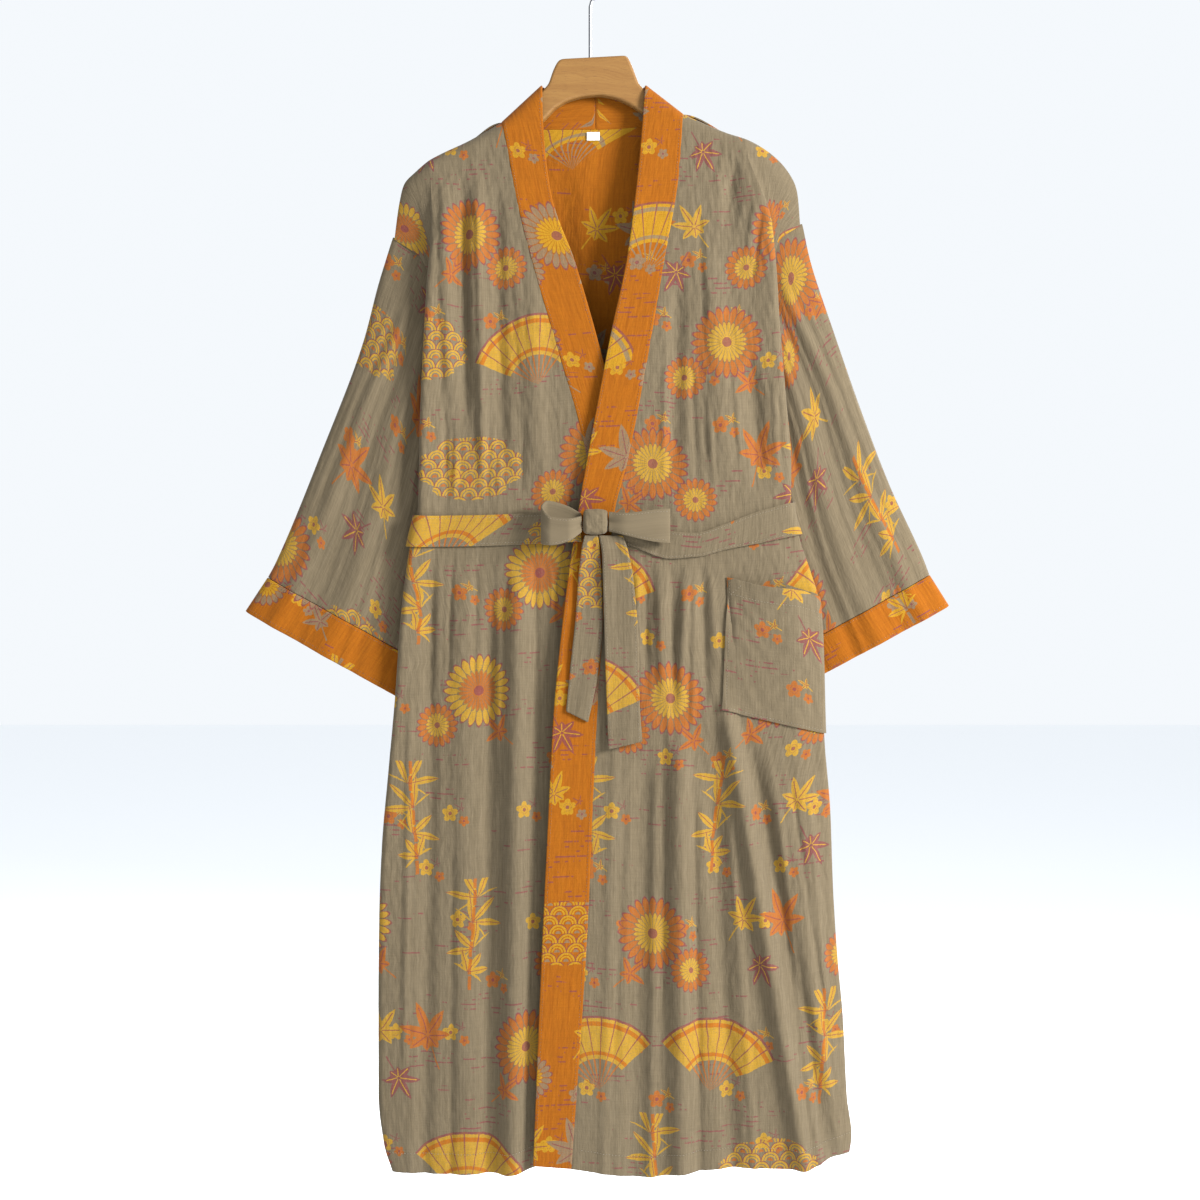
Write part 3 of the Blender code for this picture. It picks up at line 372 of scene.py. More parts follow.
def fold_height(folds, x, drop):
    """How far the folds lift the cloth at each place."""
    height = np.zeros(np.broadcast(x, drop).shape)
    for fold in folds:
        way = (drop - fold.top_drop) / (fold.low_drop - fold.top_drop)
        aside = np.abs(x - mix(fold.top_x, fold.low_x, way)) / fold.half_width
        fade = smooth((drop - fold.top_drop) / FOLD_FADE)
        if fold.low_drop < HEM_DROP - FOLD_FADE:
            fade = fade * smooth((fold.low_drop - drop) / FOLD_FADE)
        height += fold.height * fade * ridge(aside)
    return height


print("folds:", {side: len(FOLDS[side]) + len(CREASES[side]) for side in FOLDS})

# %% [markdown]
# ## The panels as surfaces
#
# Each front, and the back, is a surface with two numbers: s runs from its inner edge out to the outer
# fold and round behind it to the side seam, and level runs down from the shoulder line. Everything that
# lies on a panel, such as the belt or the pocket, is made from the same surface moved outwards, so it
# follows every fold. A sculpted mesh would not give its neighbours that.

# %% A front
def fold_turn(drop):
    """Radius of the turn at the outer fold, which starts below the shoulder."""
    return FOLD_TURN * smooth((drop - FOLD_TURN_START) / (FOLD_TURN_FULL - FOLD_TURN_START))


class Front:
    """One front of the robe: place(s, level) gives points on it, in mm, as x, y and -drop."""

    facing = -1

    def __init__(self, side):
        self.side = side
        self.depth = DEPTH[side]
        self.folds = folds_of(side)
        self.neck = SHOULDER[side][0].drop

    def from_sides(self, s, values):
        """The value for the wearer's right or left side; values(side) gives it."""
        return values(self.side)

    def top(self, s):
        """The shoulder line: where a column starts."""
        return read(SHOULDER[self.side], "x", s), read(SHOULDER[self.side], "drop", s)

    def inner_x(self, level):
        return read(BAND[self.side], "seam_x", level)

    def fold_x(self, level, s=CREST):
        drop = self.drop(np.copysign(CREST, s), level)
        return self.from_sides(s, lambda side: read(OUTER_FOLD[side], "x", drop))

    def seam_at(self, level, s, column):
        drop = self.drop(np.copysign(1.0, s), level)
        return self.from_sides(s, lambda side: read(SIDE_SEAM[side], column, drop))

    def drop(self, s, level):
        """The drop of a column at a level: rows slope along the shoulder and level out below it."""
        sloping = 1 - smooth((level - self.neck) / (SHOULDER_SLOPE_END - self.neck))
        return level + (self.top(s)[1] - self.neck) * sloping

    def over_edge(self, s, fall):
        """How far the cloth has come over the shoulder's edge."""
        return rounded(fall, SHOULDER_ROUND)

    def pleated(self, s, level, column):
        """PLEAT's share where the seam lies well behind the fold, and a plain slope where it doesn't."""
        q = (np.abs(s) - CREST) / (1 - CREST)
        inside = np.abs(self.fold_x(level, s)) - np.abs(self.seam_at(level, s, "x"))
        return mix(q, read(PLEAT, column, q), smooth(inside / PLEAT_DEEP))

    def row_x(self, s, level):
        """Where a column stands, apart from its start on the shoulder."""
        fold = self.fold_x(level, s)
        face = mix(self.inner_x(level), fold, np.abs(s) / CREST)
        behind = mix(fold, self.seam_at(level, s, "x"), self.pleated(s, level, "inward"))
        return np.where(np.abs(s) <= CREST, face, behind)

    def face_depth(self, x, drop, fold_x):
        """Distance of the face from the middle plane, with its folds."""
        near = np.abs(fold_x - x)
        depth = mix(read(self.depth, "fold", drop), read(self.depth, "face", drop),
                    smooth(near / FOLD_SIDE))
        calm = smooth(near / FOLD_CALM) * smooth((drop - NECK_DROP) / NECK_CALM)
        depth = depth + calm * fold_height(self.folds, x, drop)
        return depth - fold_turn(drop) * (1 - rounded(near, FOLD_TURN * 1.3))

    def place(self, s, level):
        s, level = np.broadcast_arrays(np.asarray(s, float), np.asarray(level, float))
        fall = level - self.neck
        drop = self.drop(s, level)
        away = (self.top(s)[0] - self.row_x(s, self.neck + 0 * s)) * (1 - smooth(fall / SHOULDER_BLEND))
        x = self.row_x(s, level) + away
        face = self.face_depth(x, drop, self.fold_x(level, s))
        q = (np.abs(s) - CREST) / (1 - CREST)
        turn = fold_turn(drop)
        layer = read(self.depth, "fold", drop) - turn - turn * smooth(q / PLEAT_TURN_END)
        behind = mix(layer, self.seam_at(level, s, "depth"), self.pleated(s, level, "closing"))
        depth = np.where(np.abs(s) <= CREST, face, behind)
        near_end = (np.abs(s) - SHOULDER_END[0]) / (SHOULDER_END[1] - SHOULDER_END[0])
        edge = mix(EDGE_HALF_GAP, SHOULDER_END_HALF_GAP, smooth(near_end))
        depth = mix(edge, depth, self.over_edge(s, fall))
        return np.stack([x, self.facing * depth, -drop], -1)

    def normal(self, s, level):
        """Unit vectors out of the cloth's face."""
        step_s, step = 0.004, 2.0
        first = -1.0 if self.side == "back" else 0.0
        across = (self.place(np.minimum(s + step_s, 1), level)
                  - self.place(np.maximum(s - step_s, first), level))
        down = self.place(s, level + step) - self.place(s, level - step)
        turn = -1 if self.side == "left" else 1
        out = np.cross(across, down) * turn
        return out / np.linalg.norm(out, axis=-1, keepdims=True)

    def lifted(self, s, level, height):
        """Points `height` outside the cloth's middle surface."""
        return self.place(s, level) + self.normal(s, level) * np.asarray(height)[..., None]

    def s_at(self, x, level):
        """The column of the face that passes through x."""
        return CREST * (x - self.inner_x(level)) / (self.fold_x(level) - self.inner_x(level))


# %% The back
class Back(Front):
    """The back, from one side seam (s = -1) to the other (s = 1)."""

    facing = 1
    NECK = 0.3
    INSET, INSET_START, INSET_SPAN = 4.0, 220, 60

    def __init__(self):
        self.side = "back"
        self.depth = DEPTH["back"]
        self.folds = folds_of("back")
        self.neck = SHOULDER["left"][0].drop
        neck = table("s x drop", (-self.NECK, -97, 181), (-0.12, -45, 184), (0.0, NECK_CENTRE, 184),
                     (0.12, 56, 181), (self.NECK, 102, 172))

        def outside_neck(row):
            return mix(self.NECK, CREST, row.s / CREST) if row.s <= CREST else row.s

        right, left = SHOULDER["right"][1:], SHOULDER["left"][1:]
        self.line = ([neck[0]._replace(s=-outside_neck(row), x=row.x, drop=row.drop)
                      for row in reversed(right)] + neck
                     + [neck[0]._replace(s=outside_neck(row), x=row.x, drop=row.drop) for row in left])

    def from_sides(self, s, values):
        return np.where(np.asarray(s) < 0, values("right"), values("left"))

    def top(self, s):
        return read(self.line, "x", s), read(self.line, "drop", s)

    def fold_x(self, level, s=CREST):
        outer = super().fold_x(level, s)
        inset = self.INSET * smooth((level - self.INSET_START) / self.INSET_SPAN)
        return outer + np.copysign(inset, -np.asarray(s))

    def inner_x(self, level):
        return (self.fold_x(level, -CREST) + self.fold_x(level, CREST)) / 2

    def over_edge(self, s, fall):
        x = self.top(s)[0]
        inside_neck = np.minimum(x - SHOULDER["right"][0].x, SHOULDER["left"][0].x - x)
        return mix(rounded(fall, SHOULDER_ROUND), 1.0, rounded(inside_neck, NECK_ROUND))


FRONT = {side: Front(side) for side in ("right", "left")}
BACK = Back()
for side, front in FRONT.items():
    print("shoulder end,", side, front.place(1.0, 300.0).round(1))

# %% [markdown]
# ## From points to cloth
#
# A piece is a grid of points, a net of square faces through them, and a UV map whose unit is a metre
# along the cloth. The map is measured on the points themselves, along each row and down each column, so
# the woven design keeps its size wherever the cloth folds. Solidify gives the wall and turns the other
# face of the cloth inwards, and a small bevel rounds the cut edge.

# %% Sewing helpers
def lengths_along(points, axis):
    """Distance along a grid's rows (axis 1) or columns (axis 0), from its first point."""
    steps = np.linalg.norm(np.diff(points, axis=axis), axis=-1)
    start = np.zeros_like(np.take(steps, [0], axis=axis))
    return np.concatenate([start, np.cumsum(steps, axis=axis)], axis=axis)


def cloth_uv(points, start_x=None, start_drop=None, shift=0):
    """Metres across and down the cloth for each point of a grid; a start that isn't given is its own."""
    across = lengths_along(points, 1)
    down = lengths_along(points, 0)
    first = points[:, :1, 0] + shift if start_x is None else start_x
    sign = np.sign(points[:, -1:, 0] - points[:, :1, 0])
    top = -points[:1, :, 2] if start_drop is None else start_drop
    return np.stack([first + sign * across, -(top + down)], -1) * MM


print("a square of 1 mm:", cloth_uv(np.array([[(0, 0, 0), (1, 0, 0)], [(0, 0, -1), (1, 0, -1)]])).tolist())

# %% Pieces and nets
CLOTH_MAP = "cloth"
SLOTS = {"taupe_cotton": "printed_cotton", "taupe_cotton_without_motifs": "printed_cotton",
         "orange_cotton": "orange_reverse"}


def add_piece(name, mesh, slot, *finishes):
    """A piece of the robe in the frame's only body, with its finishes; `slot` is not used."""
    piece = bpy.data.objects.new(name, mesh)
    bpy.context.scene.collection.objects.link(piece)
    for finish in finishes:
        mesh.materials.append(finish)
    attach(piece, "root")
    return piece


def select_only(piece):
    bpy.ops.object.select_all(action="DESELECT")
    piece.select_set(True)
    bpy.context.view_layer.objects.active = piece


def apply_modifiers(piece):
    select_only(piece)
    for modifier in list(piece.modifiers):
        bpy.ops.object.modifier_apply(modifier=modifier.name)


def net(name, points, uv, closed=False, flipped=False):
    """A mesh of square faces through a grid of points in mm, with its UV map."""
    rows, count = points.shape[:2]
    mesh = bpy.data.meshes.new(name)
    corners = np.arange(rows * count).reshape(rows, count)
    left = corners if closed else corners[:, :-1]
    right = np.roll(corners, -1, axis=1) if closed else corners[:, 1:]
    faces = np.stack([left[:-1], left[1:], right[1:], right[:-1]], -1).reshape(-1, 4)
    if flipped:
        faces = faces[:, ::-1]
    mesh.from_pydata((points.reshape(-1, 3) * MM).tolist(), [], faces.tolist())
    layer = mesh.uv_layers.new(name=CLOTH_MAP)
    flat = uv.reshape(-1, 2)[faces.reshape(-1)]
    if closed:
        around = np.ptp(uv[..., 0])
        first = flat.reshape(-1, 4, 2)[:, :, 0]
        wrapped = first < first.max(axis=1, keepdims=True) - around / 2
        flat.reshape(-1, 4, 2)[:, :, 0] = np.where(wrapped, first + around * (1 + 1 / count), first)
    layer.data.foreach_set("uv", flat.reshape(-1))
    mesh.shade_smooth()
    return mesh


# %% Sewing
EDGE_ROUND = 0.35


def sew(name, points, uv, wall, outer, inner, closed=False, flipped=False, edge_round=EDGE_ROUND):
    """A cloth piece through a grid of points, with its wall, its two faces and a rounded cut edge."""
    piece = add_piece(name, net(name, points, uv, closed, flipped), SLOTS[outer.name], outer, inner)
    thicken = piece.modifiers.new("wall", "SOLIDIFY")
    thicken.thickness = wall * MM
    thicken.offset = 0
    thicken.use_even_offset = True
    thicken.material_offset = 1
    soften = piece.modifiers.new("edge", "BEVEL")
    soften.width = wall * edge_round * MM
    soften.segments = 2
    soften.limit_method = "ANGLE"
    soften.angle_limit = math.radians(60)
    apply_modifiers(piece)
    print(f"{name}: {len(piece.data.polygons)} faces")
    return piece


def dress(node, points):
    """Hides the frame's node that a cloth piece stands for; `points` is not used."""
    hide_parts(node)

# %% [markdown]
# ## Shader maths as Python expressions
#
# A node tree for a woven design has hundreds of Math nodes, and wiring them by hand hides the formula.
# A small class wraps a socket, so that an expression such as `1 - mask` adds its own node, and one method
# makes any other node from its type, its settings and the values of its sockets. The operators differ
# only in the name of their operation, so three loops add them. `part` is what follows the decimal point.

# %% Sockets with operators
class Sock:
    """A shader socket that can be used in an expression."""

    def __init__(self, tree, socket):
        self.tree = tree
        self.socket = socket

    def node(self, kind, settings=None, out=0, **inputs):
        """A node of one kind: its settings, then its sockets by name (spaces as _) or in0, in1 ..."""
        made = self.tree.nodes.new(kind)
        for key, value in (settings or {}).items():
            setattr(made, key, value)
        for key, value in inputs.items():
            place = int(key[2:]) if key[:2] == "in" and key[2:].isdigit() else key.replace("_", " ")
            wire(self.tree, made.inputs[place], value)
        return Sock(self.tree, made.outputs[out])

    def math(self, operation, *values):
        return self.node("ShaderNodeMath", {"operation": operation},
                         **{f"in{k}": value for k, value in enumerate(values)})

    def vector(self, operation, *values, out=0):
        return self.node("ShaderNodeVectorMath", {"operation": operation}, out,
                         **{f"in{k}": value for k, value in enumerate(values)})

    def ramp(self, low, high):
        """0 below low, 1 above high, and a soft step between them."""
        return self.node("ShaderNodeMapRange", {"interpolation_type": "SMOOTHSTEP"}, Value=self,
                         From_Min=low, From_Max=high)

    def xyz(self):
        split = self.tree.nodes.new("ShaderNodeSeparateXYZ")
        wire(self.tree, split.inputs[0], self)
        return [Sock(self.tree, socket) for socket in split.outputs]

    def joined(self, y, z=0.0):
        return self.node("ShaderNodeCombineXYZ", X=self, Y=y, Z=z)

    def blend(self, colour_a, colour_b):
        """colour_a where this is 0 and colour_b where it is 1."""
        made = self.tree.nodes.new("ShaderNodeMix")
        made.data_type = "RGBA"
        for place, value in ((0, self), (6, colour_a), (7, colour_b)):
            wire(self.tree, made.inputs[place], value)
        return Sock(self.tree, made.outputs[2])

    def noise(self, scale, detail=2.0, roughness=0.5):
        """Noise of this vector, with its scale in waves per metre."""
        return self.node("ShaderNodeTexNoise", {"normalize": True}, Vector=self, Scale=scale,
                         Detail=detail, Roughness=roughness)


# %% Operators
UNARY = {"__abs__": "ABSOLUTE", "floor": "FLOOR", "part": "FRACT", "sin": "SINE", "cos": "COSINE",
         "sqrt": "SQRT"}
BINARY = {"__add__": "ADD", "__sub__": "SUBTRACT", "__mul__": "MULTIPLY", "__truediv__": "DIVIDE",
          "__lt__": "LESS_THAN", "__gt__": "GREATER_THAN", "max": "MAXIMUM"}
SWAPPED = {"__radd__": "ADD", "__rsub__": "SUBTRACT", "__rmul__": "MULTIPLY"}
for method, operation in UNARY.items():
    setattr(Sock, method, lambda self, operation=operation: self.math(operation, self))
for method, operation in BINARY.items():
    setattr(Sock, method, lambda self, other, operation=operation: self.math(operation, self, other))
for method, operation in SWAPPED.items():
    setattr(Sock, method, lambda self, other, operation=operation: self.math(operation, other, self))


# %% Materials and colours
def wire(tree, socket, value):
    """Links a socket or sets its value; a colour gets its alpha."""
    if isinstance(value, Sock):
        tree.links.new(value.socket, socket)
    elif hasattr(value, "__len__") and len(socket.default_value) == 4 and len(value) == 3:
        socket.default_value = (*value, 1.0)
    else:
        socket.default_value = value


def new_material(name, roughness, **fixed):
    """A Principled material with its constant sockets set; returns it, its shader and its node tree."""
    material = bpy.data.materials.new(name)
    material.use_nodes = True
    tree = material.node_tree
    shader = tree.nodes["Principled BSDF"]
    shader.inputs["Roughness"].default_value = roughness
    for key, value in fixed.items():
        wire(tree, shader.inputs[key.replace("_", " ")], value)
    return material, shader, tree


def object_place(tree):
    """The coordinates of the object itself, in metres."""
    return Sock(tree, tree.nodes.new("ShaderNodeTexCoord").outputs["Object"])


def add_bump(tree, shader, height, strength, depth):
    """Raises the surface by a height pattern, as deep as `depth` in metres."""
    bump = tree.nodes.new("ShaderNodeBump")
    bump.inputs["Strength"].default_value = strength
    bump.inputs["Distance"].default_value = depth
    wire(tree, bump.inputs["Height"], height)
    tree.links.new(bump.outputs[0], shader.inputs["Normal"])


def linear(red, green, blue):
    """A colour as a screen shows it (0 to 255), as the shader wants it."""
    def one(value):
        value /= 255
        return value / 12.92 if value <= 0.04045 else ((value + 0.055) / 1.055) ** 2.4
    return (one(red), one(green), one(blue))


print("shader helpers ready")

# %% [markdown]
# ## The woven design
#
# The taupe face is woven with yellow, orange and plum yarns. The design here is a generic one of common
# autumn motifs: chrysanthemums, maple leaves, folding fans, bamboo and rounded waves, with small plum
# blossoms and lines of mist between them. A painted texture would need an image, so the motifs are
# formulas on the cloth's own UV map. The numbers inside a shape are shares of its size. A brick lattice
# gives each motif a cell, and random numbers of the cell pick its motif, mirror it and shift it.

# %% Motif shapes
TURN = 2 * math.pi


def turned(x, y, angle):
    """The coordinates of a frame that is turned by an angle, in radians."""
    c, s = math.cos(angle), math.sin(angle)
    return x * c + y * s, y * c - x * s


def polar(x, y):
    return (x * x + y * y).sqrt(), x.math("ARCTAN2", x, y)


def folded(angle, count):
    """The angle within one of `count` equal sectors, from its middle."""
    return ((angle * (count / TURN) + 0.5).part() - 0.5) * (TURN / count)


# %% Flowers and leaves
def chrysanthemum(x, y, size, petals):
    """Two rings of narrow petals, the lines between them, and the eye with the dark outline."""
    r, a = polar(x, y)
    r = r / size
    lobe = abs((a * (petals / 2)).cos())
    inner_lobe = abs((a * (petals / 2)).sin())
    edge = 0.80 + 0.20 * lobe
    body = r < edge
    inner = r < (0.42 + 0.14 * inner_lobe)
    rim = abs(r - 0.45 - 0.14 * inner_lobe) < 0.025
    lines = ((lobe < 0.26) * (1 - inner)).max((inner_lobe < 0.30) * inner * (r > 0.17)).max(rim) * body
    return {"body": body, "lines": lines, "inner": inner,
            "eye": (r < 0.14).max(abs(r - edge) < 0.030)}


def maple_leaf(x, y, size, lobes=7):
    """Pointed lobes, longest at the top, with a vein in each and a stalk."""
    r, a = polar(x, y)
    length = size * (0.70 + 0.30 * a.cos())
    near = folded(a, lobes)
    along, across = r * near.cos(), abs(r * near.sin())
    t = along / length
    edge = size * 0.17 * (t + 0.25) * (1 - t) * 2.2
    body = across < edge
    vein = (across < 0.45) * (t > 0.08) * (t < 0.82)
    stalk = (abs(x) < 0.6) * (y < -size * 0.2) * (y > -size * 0.95)
    return {"body": body.max(stalk), "lines": vein, "stalk": stalk}


# %% Fans, bamboo and waves
def fan(x, y, size, ribs=15, half_angle=1.02):
    """An open folding fan: its leaf, the ribs and two bands across it."""
    r, a = polar(x, y)
    r = r / size
    inside = abs(a) < half_angle
    leaf = inside * (r > 0.42) * (r < (0.97 + 0.03 * abs((a * ribs).cos())))
    sticks = inside * (r < 0.42) * (abs((a * ribs).sin()) < 0.45)
    creases = ((abs((a * ribs).sin()) < 0.16) * leaf).max(inside * (abs(r - 0.99) < 0.016))
    bands = ((abs(r - 0.90) < 0.030).max(abs(r - 0.50) < 0.025)) * leaf
    return {"leaf": leaf, "sticks": sticks, "creases": creases, "bands": bands}


def bamboo(x, y, size):
    """A jointed stem with sprays of pointed leaves."""
    bend = (y * (1.6 / size)).sin() * 3.0
    stem_x = x - bend
    joint = ((y * (3.2 / size)).part() - 0.5)
    stem = (abs(stem_x) < 1.5) * (abs(joint) > 0.05) * (abs(y) < size * 1.05)
    sprays, veins = None, None
    for (px, py, tilt, length) in ((0.05, 0.62, 0.5, 0.62), (-0.02, 0.18, -0.75, 0.60),
                                   (0.04, -0.30, 0.85, 0.52), (-0.03, -0.72, -0.6, 0.40)):
        lx, ly = turned(stem_x - px * size, y - py * size, tilt)
        r, a = polar(lx, ly)
        near = folded(a, 7)
        t = r * near.cos() / (length * size)
        across = abs(r * near.sin())
        leaf = (across < size * 0.26 * t * (1 - t)) * (a.cos() > -0.1)
        vein = leaf * (across < 0.35)
        sprays = leaf if sprays is None else sprays.max(leaf)
        veins = vein if veins is None else veins.max(vein)
    return {"stem": stem, "leaves": sprays, "lines": veins}


WAVE_WIDTH, WAVE_HEIGHT = 17.0, 8.5


def waves(x, y, half_width, half_height):
    """A patch of rounded waves in rows, each with two rings and a heart."""
    row = (y / WAVE_HEIGHT).floor()
    shifted = x / WAVE_WIDTH + (row * 0.5).part()
    wave_x = (shifted.part() - 0.5) * WAVE_WIDTH
    wave_y = (y / WAVE_HEIGHT).part() * WAVE_HEIGHT
    r = (wave_x * wave_x + wave_y * wave_y).sqrt() / (WAVE_WIDTH / 2)
    far = (x / half_width) * (x / half_width) + (y / half_height) * (y / half_height)
    patch = far < (0.72 + 0.28 * abs((y * 0.19).sin()))
    ring = abs(r - 0.84) < 0.11
    inner_ring = abs(r - 0.54) < 0.09
    return {"crests": ring.max(inner_ring) * patch, "hearts": (r < 0.30) * patch,
            "edges": (abs(r - 0.99) < 0.045) * patch}


def blossom(x, y, size, petals=5):
    """Round petals, an eye and a ring of stamens."""
    r, a = polar(x, y)
    r = r / size
    edge = 0.62 + 0.38 * abs((a * (petals / 2)).cos())
    stamens = (abs(r - 0.45) < 0.05) * (abs((a * (petals * 1.5)).sin()) < 0.5)
    return {"body": r < edge, "eye": (r < 0.22).max(stamens)}


# %% The repeat
CELL_WIDTH, CELL_HEIGHT = 138.0, 128.0
CELL_SHIFT_X, CELL_SHIFT_Y = 26.0, 14.0
FIGURE_SCALE = 1.2
FLOWER_TO, MAPLE_TO, FAN_TO, BAMBOO_TO, WAVES_TO = 0.22, 0.53, 0.72, 0.86, 0.97
BIG_FLOWER, LOW_FLOWER, SIDE_LEAF = 33.0, 20.0, 21.0
LEAF_A, LEAF_B, LEAF_C = 33.0, 25.0, 23.0
FAN_SIZE, BAMBOO_SIZE, WAVES_HALF = 66.0, 50.0, (52.0, 30.0)
SMALL_WIDTH, SMALL_HEIGHT = 83.0, 61.0
SMALL_SHIFT_X, SMALL_SHIFT_Y = 22.0, 16.0
SMALL_SHARE = 0.58
BLOSSOM_A, BLOSSOM_B, TWIG_SIZE = 9.5, 6.0, 10.0
EDGE_WANDER = 0.55
EDGE_WANDERS = 900.0
MIST_PITCH = 5.2
MIST_WANDER, MIST_THICKNESS = 3.0, 0.14
MIST_OVER, MIST_RUN_OVER = 0.57, 0.525
print("large cell:", CELL_WIDTH, "x", CELL_HEIGHT, "mm, small cell:", SMALL_WIDTH, "x", SMALL_HEIGHT, "mm")


# %% Cells and yarns
def lattice(x, y, width, height, seed):
    """Coordinates inside a brick cell from its middle, and three random numbers of the cell."""
    row = (y / height).floor()
    shifted = x / width + (row * 0.5).part()
    column = shifted.floor()
    local_x = (shifted - column - 0.5) * width
    local_y = (y / height - row - 0.5) * height
    picked = column.node("ShaderNodeTexWhiteNoise", {"noise_dimensions": "3D"}, out=1,
                         Vector=column.joined(row, seed + 7.0))
    return local_x, local_y, picked.xyz()


def yarns(uv):
    """The masks of the yellow, orange and plum yarns, for a UV map in metres."""
    wander = uv.node("ShaderNodeTexNoise", {"normalize": True}, out=1, Vector=uv, Scale=EDGE_WANDERS,
                     Detail=1.0)
    u, v, _ = uv.xyz()
    wx, wy, _ = wander.xyz()
    x = u * 1000.0 + (wx - 0.5) * (2 * EDGE_WANDER)
    y = v * 1000.0 + (wy - 0.5) * (2 * EDGE_WANDER)

    lx, ly, (pick, chance, third) = lattice(x, y, CELL_WIDTH, CELL_HEIGHT, 3.0)
    flip = (chance > 0.5) * 2.0 - 1.0
    lx = (lx - (chance - 0.5) * CELL_SHIFT_X) * flip / FIGURE_SCALE
    ly = (ly - (third - 0.5) * CELL_SHIFT_Y) / FIGURE_SCALE

    is_flower = pick < FLOWER_TO
    is_maple = (pick > FLOWER_TO) * (pick < MAPLE_TO)
    is_fan = (pick > MAPLE_TO) * (pick < FAN_TO)
    is_bamboo = (pick > FAN_TO) * (pick < BAMBOO_TO)
    is_waves = (pick > BAMBOO_TO) * (pick < WAVES_TO)

    big = chrysanthemum(lx + 12.0, ly - 8.0, BIG_FLOWER, 24)
    low = chrysanthemum(lx - 27.0, ly + 24.0, LOW_FLOWER, 18)
    side = maple_leaf(*turned(lx + 34.0, ly + 30.0, -0.9), SIDE_LEAF, 5)
    leaf_a = maple_leaf(*turned(lx + 20.0, ly - 12.0, -0.35), LEAF_A)
    leaf_b = maple_leaf(*turned(lx - 25.0, ly - 16.0, 0.6), LEAF_B)
    leaf_c = maple_leaf(*turned(lx - 8.0, ly + 26.0, 2.6), LEAF_C)
    open_fan = fan(*turned(lx, ly + 32.0, 0.18), FAN_SIZE)
    cane = bamboo(lx + 4.0, ly, BAMBOO_SIZE)
    sea = waves(lx, ly, *WAVES_HALF)

    behind_big = 1 - big["body"]
    rays, heart = big["body"] * (1 - big["inner"]), big["inner"]
    warm = third > 0.60
    yellow = (is_flower * (rays * warm).max(heart * (1 - warm)).max(low["inner"] * behind_big)
              + is_maple * leaf_b["body"].max(leaf_c["lines"])
              + is_fan * open_fan["leaf"]
              + is_bamboo * cane["leaves"]
              + is_waves * sea["crests"])
    low_rays = low["body"] * (1 - low["inner"]) * behind_big
    orange = (is_flower * (rays * (1 - warm)).max(heart * warm).max(low_rays).max(side["body"] * behind_big)
              + is_maple * leaf_a["body"]
              + is_fan * open_fan["bands"].max(open_fan["sticks"])
              + is_bamboo * cane["stem"]
              + is_waves * sea["hearts"])
    plum = (is_flower * (big["eye"].max(low["eye"] * behind_big)).max(side["lines"] * behind_big)
            + is_maple * leaf_a["lines"].max(leaf_b["lines"]).max(leaf_c["body"] * (1 - leaf_c["lines"]))
            + is_fan * open_fan["creases"]
            + is_bamboo * cane["lines"]
            + is_waves * sea["edges"])
    bare = (is_flower * (big["lines"].max(low["lines"] * behind_big)))

    sx, sy, small = lattice(x + 23.0, y + 11.0, SMALL_WIDTH, SMALL_HEIGHT, 11.0)
    small_pick, small_chance, small_third = small
    sx = sx - (small_third - 0.5) * SMALL_SHIFT_X
    sy = sy - (small_chance - 0.5) * SMALL_SHIFT_Y
    taken = yellow.max(orange).max(plum)
    free = (taken < 0.5) * (small_pick < SMALL_SHARE)
    flower_a = blossom(sx + 7.0, sy - 3.0, BLOSSOM_A)
    flower_b = blossom(*turned(sx - 9.0, sy + 5.0, 0.6), BLOSSOM_B)
    twig = maple_leaf(*turned(sx - 6.0, sy - 9.0, 1.1), TWIG_SIZE, 5)
    warm = small_chance > 0.5
    yellow = yellow + free * (flower_a["body"] * warm).max(twig["body"] * (1 - warm))
    orange = orange + free * (flower_a["body"] * (1 - warm)).max(flower_b["body"])
    plum = plum + free * flower_a["eye"].max(flower_b["eye"]).max(twig["lines"])

    drift = (x * 0.011).joined(y * 0.034, 2.0).noise(1.0, 2.0)
    line = y / MIST_PITCH + (x * 0.006).joined(y * 0.006, 9.0).noise(1.0, 1.0) * MIST_WANDER
    run = (x * 0.060).joined(line.floor() * 7.3, 5.0).noise(1.0, 3.0, 0.7)
    mist = (drift > MIST_OVER) * (run > MIST_RUN_OVER) * (abs(line.part() - 0.5) < MIST_THICKNESS)
    plum = plum + mist * (taken < 0.5) * (1 - free * flower_a["body"].max(flower_b["body"]))
    return yellow, orange, plum, bare


# %% Colours of the yarns
TAUPE = linear(79, 69, 52)
TAUPE_LIGHT = linear(95, 84, 66)
ORANGE_GROUND = linear(112, 59, 2)
ORANGE_GROUND_LIGHT = linear(128, 73, 6)
YELLOW = linear(138, 104, 20)
ORANGE = linear(126, 66, 6)
PLUM = linear(90, 44, 46)
STREAKS_ACROSS, STREAKS_DOWN = 520.0, 16.0
CRINKLE_ACROSS, CRINKLE_DOWN = 230.0, 70.0
SLUBS_ACROSS, SLUBS_DOWN = 40.0, 700.0
CLOUDS_ACROSS, CLOUDS_DOWN = 22.0, 9.0
FLOATS_ACROSS, FLOATS_DOWN = 1900.0, 800.0
YARN_COVER = 0.84
# Slubs and clouds vary the cloth's tone; the crinkle's share is painted shade, darker in its hollows and
# lighter on its raised parts.
SLUB_SHADE, CLOUD_SHADE, CRINKLE_PAINTED_SHADE = 0.26, 0.16, 0.30
WEAVE_PITCH = 0.0011
CLOTH_BUMP, CLOTH_BUMP_DEPTH = 0.75, 0.0011


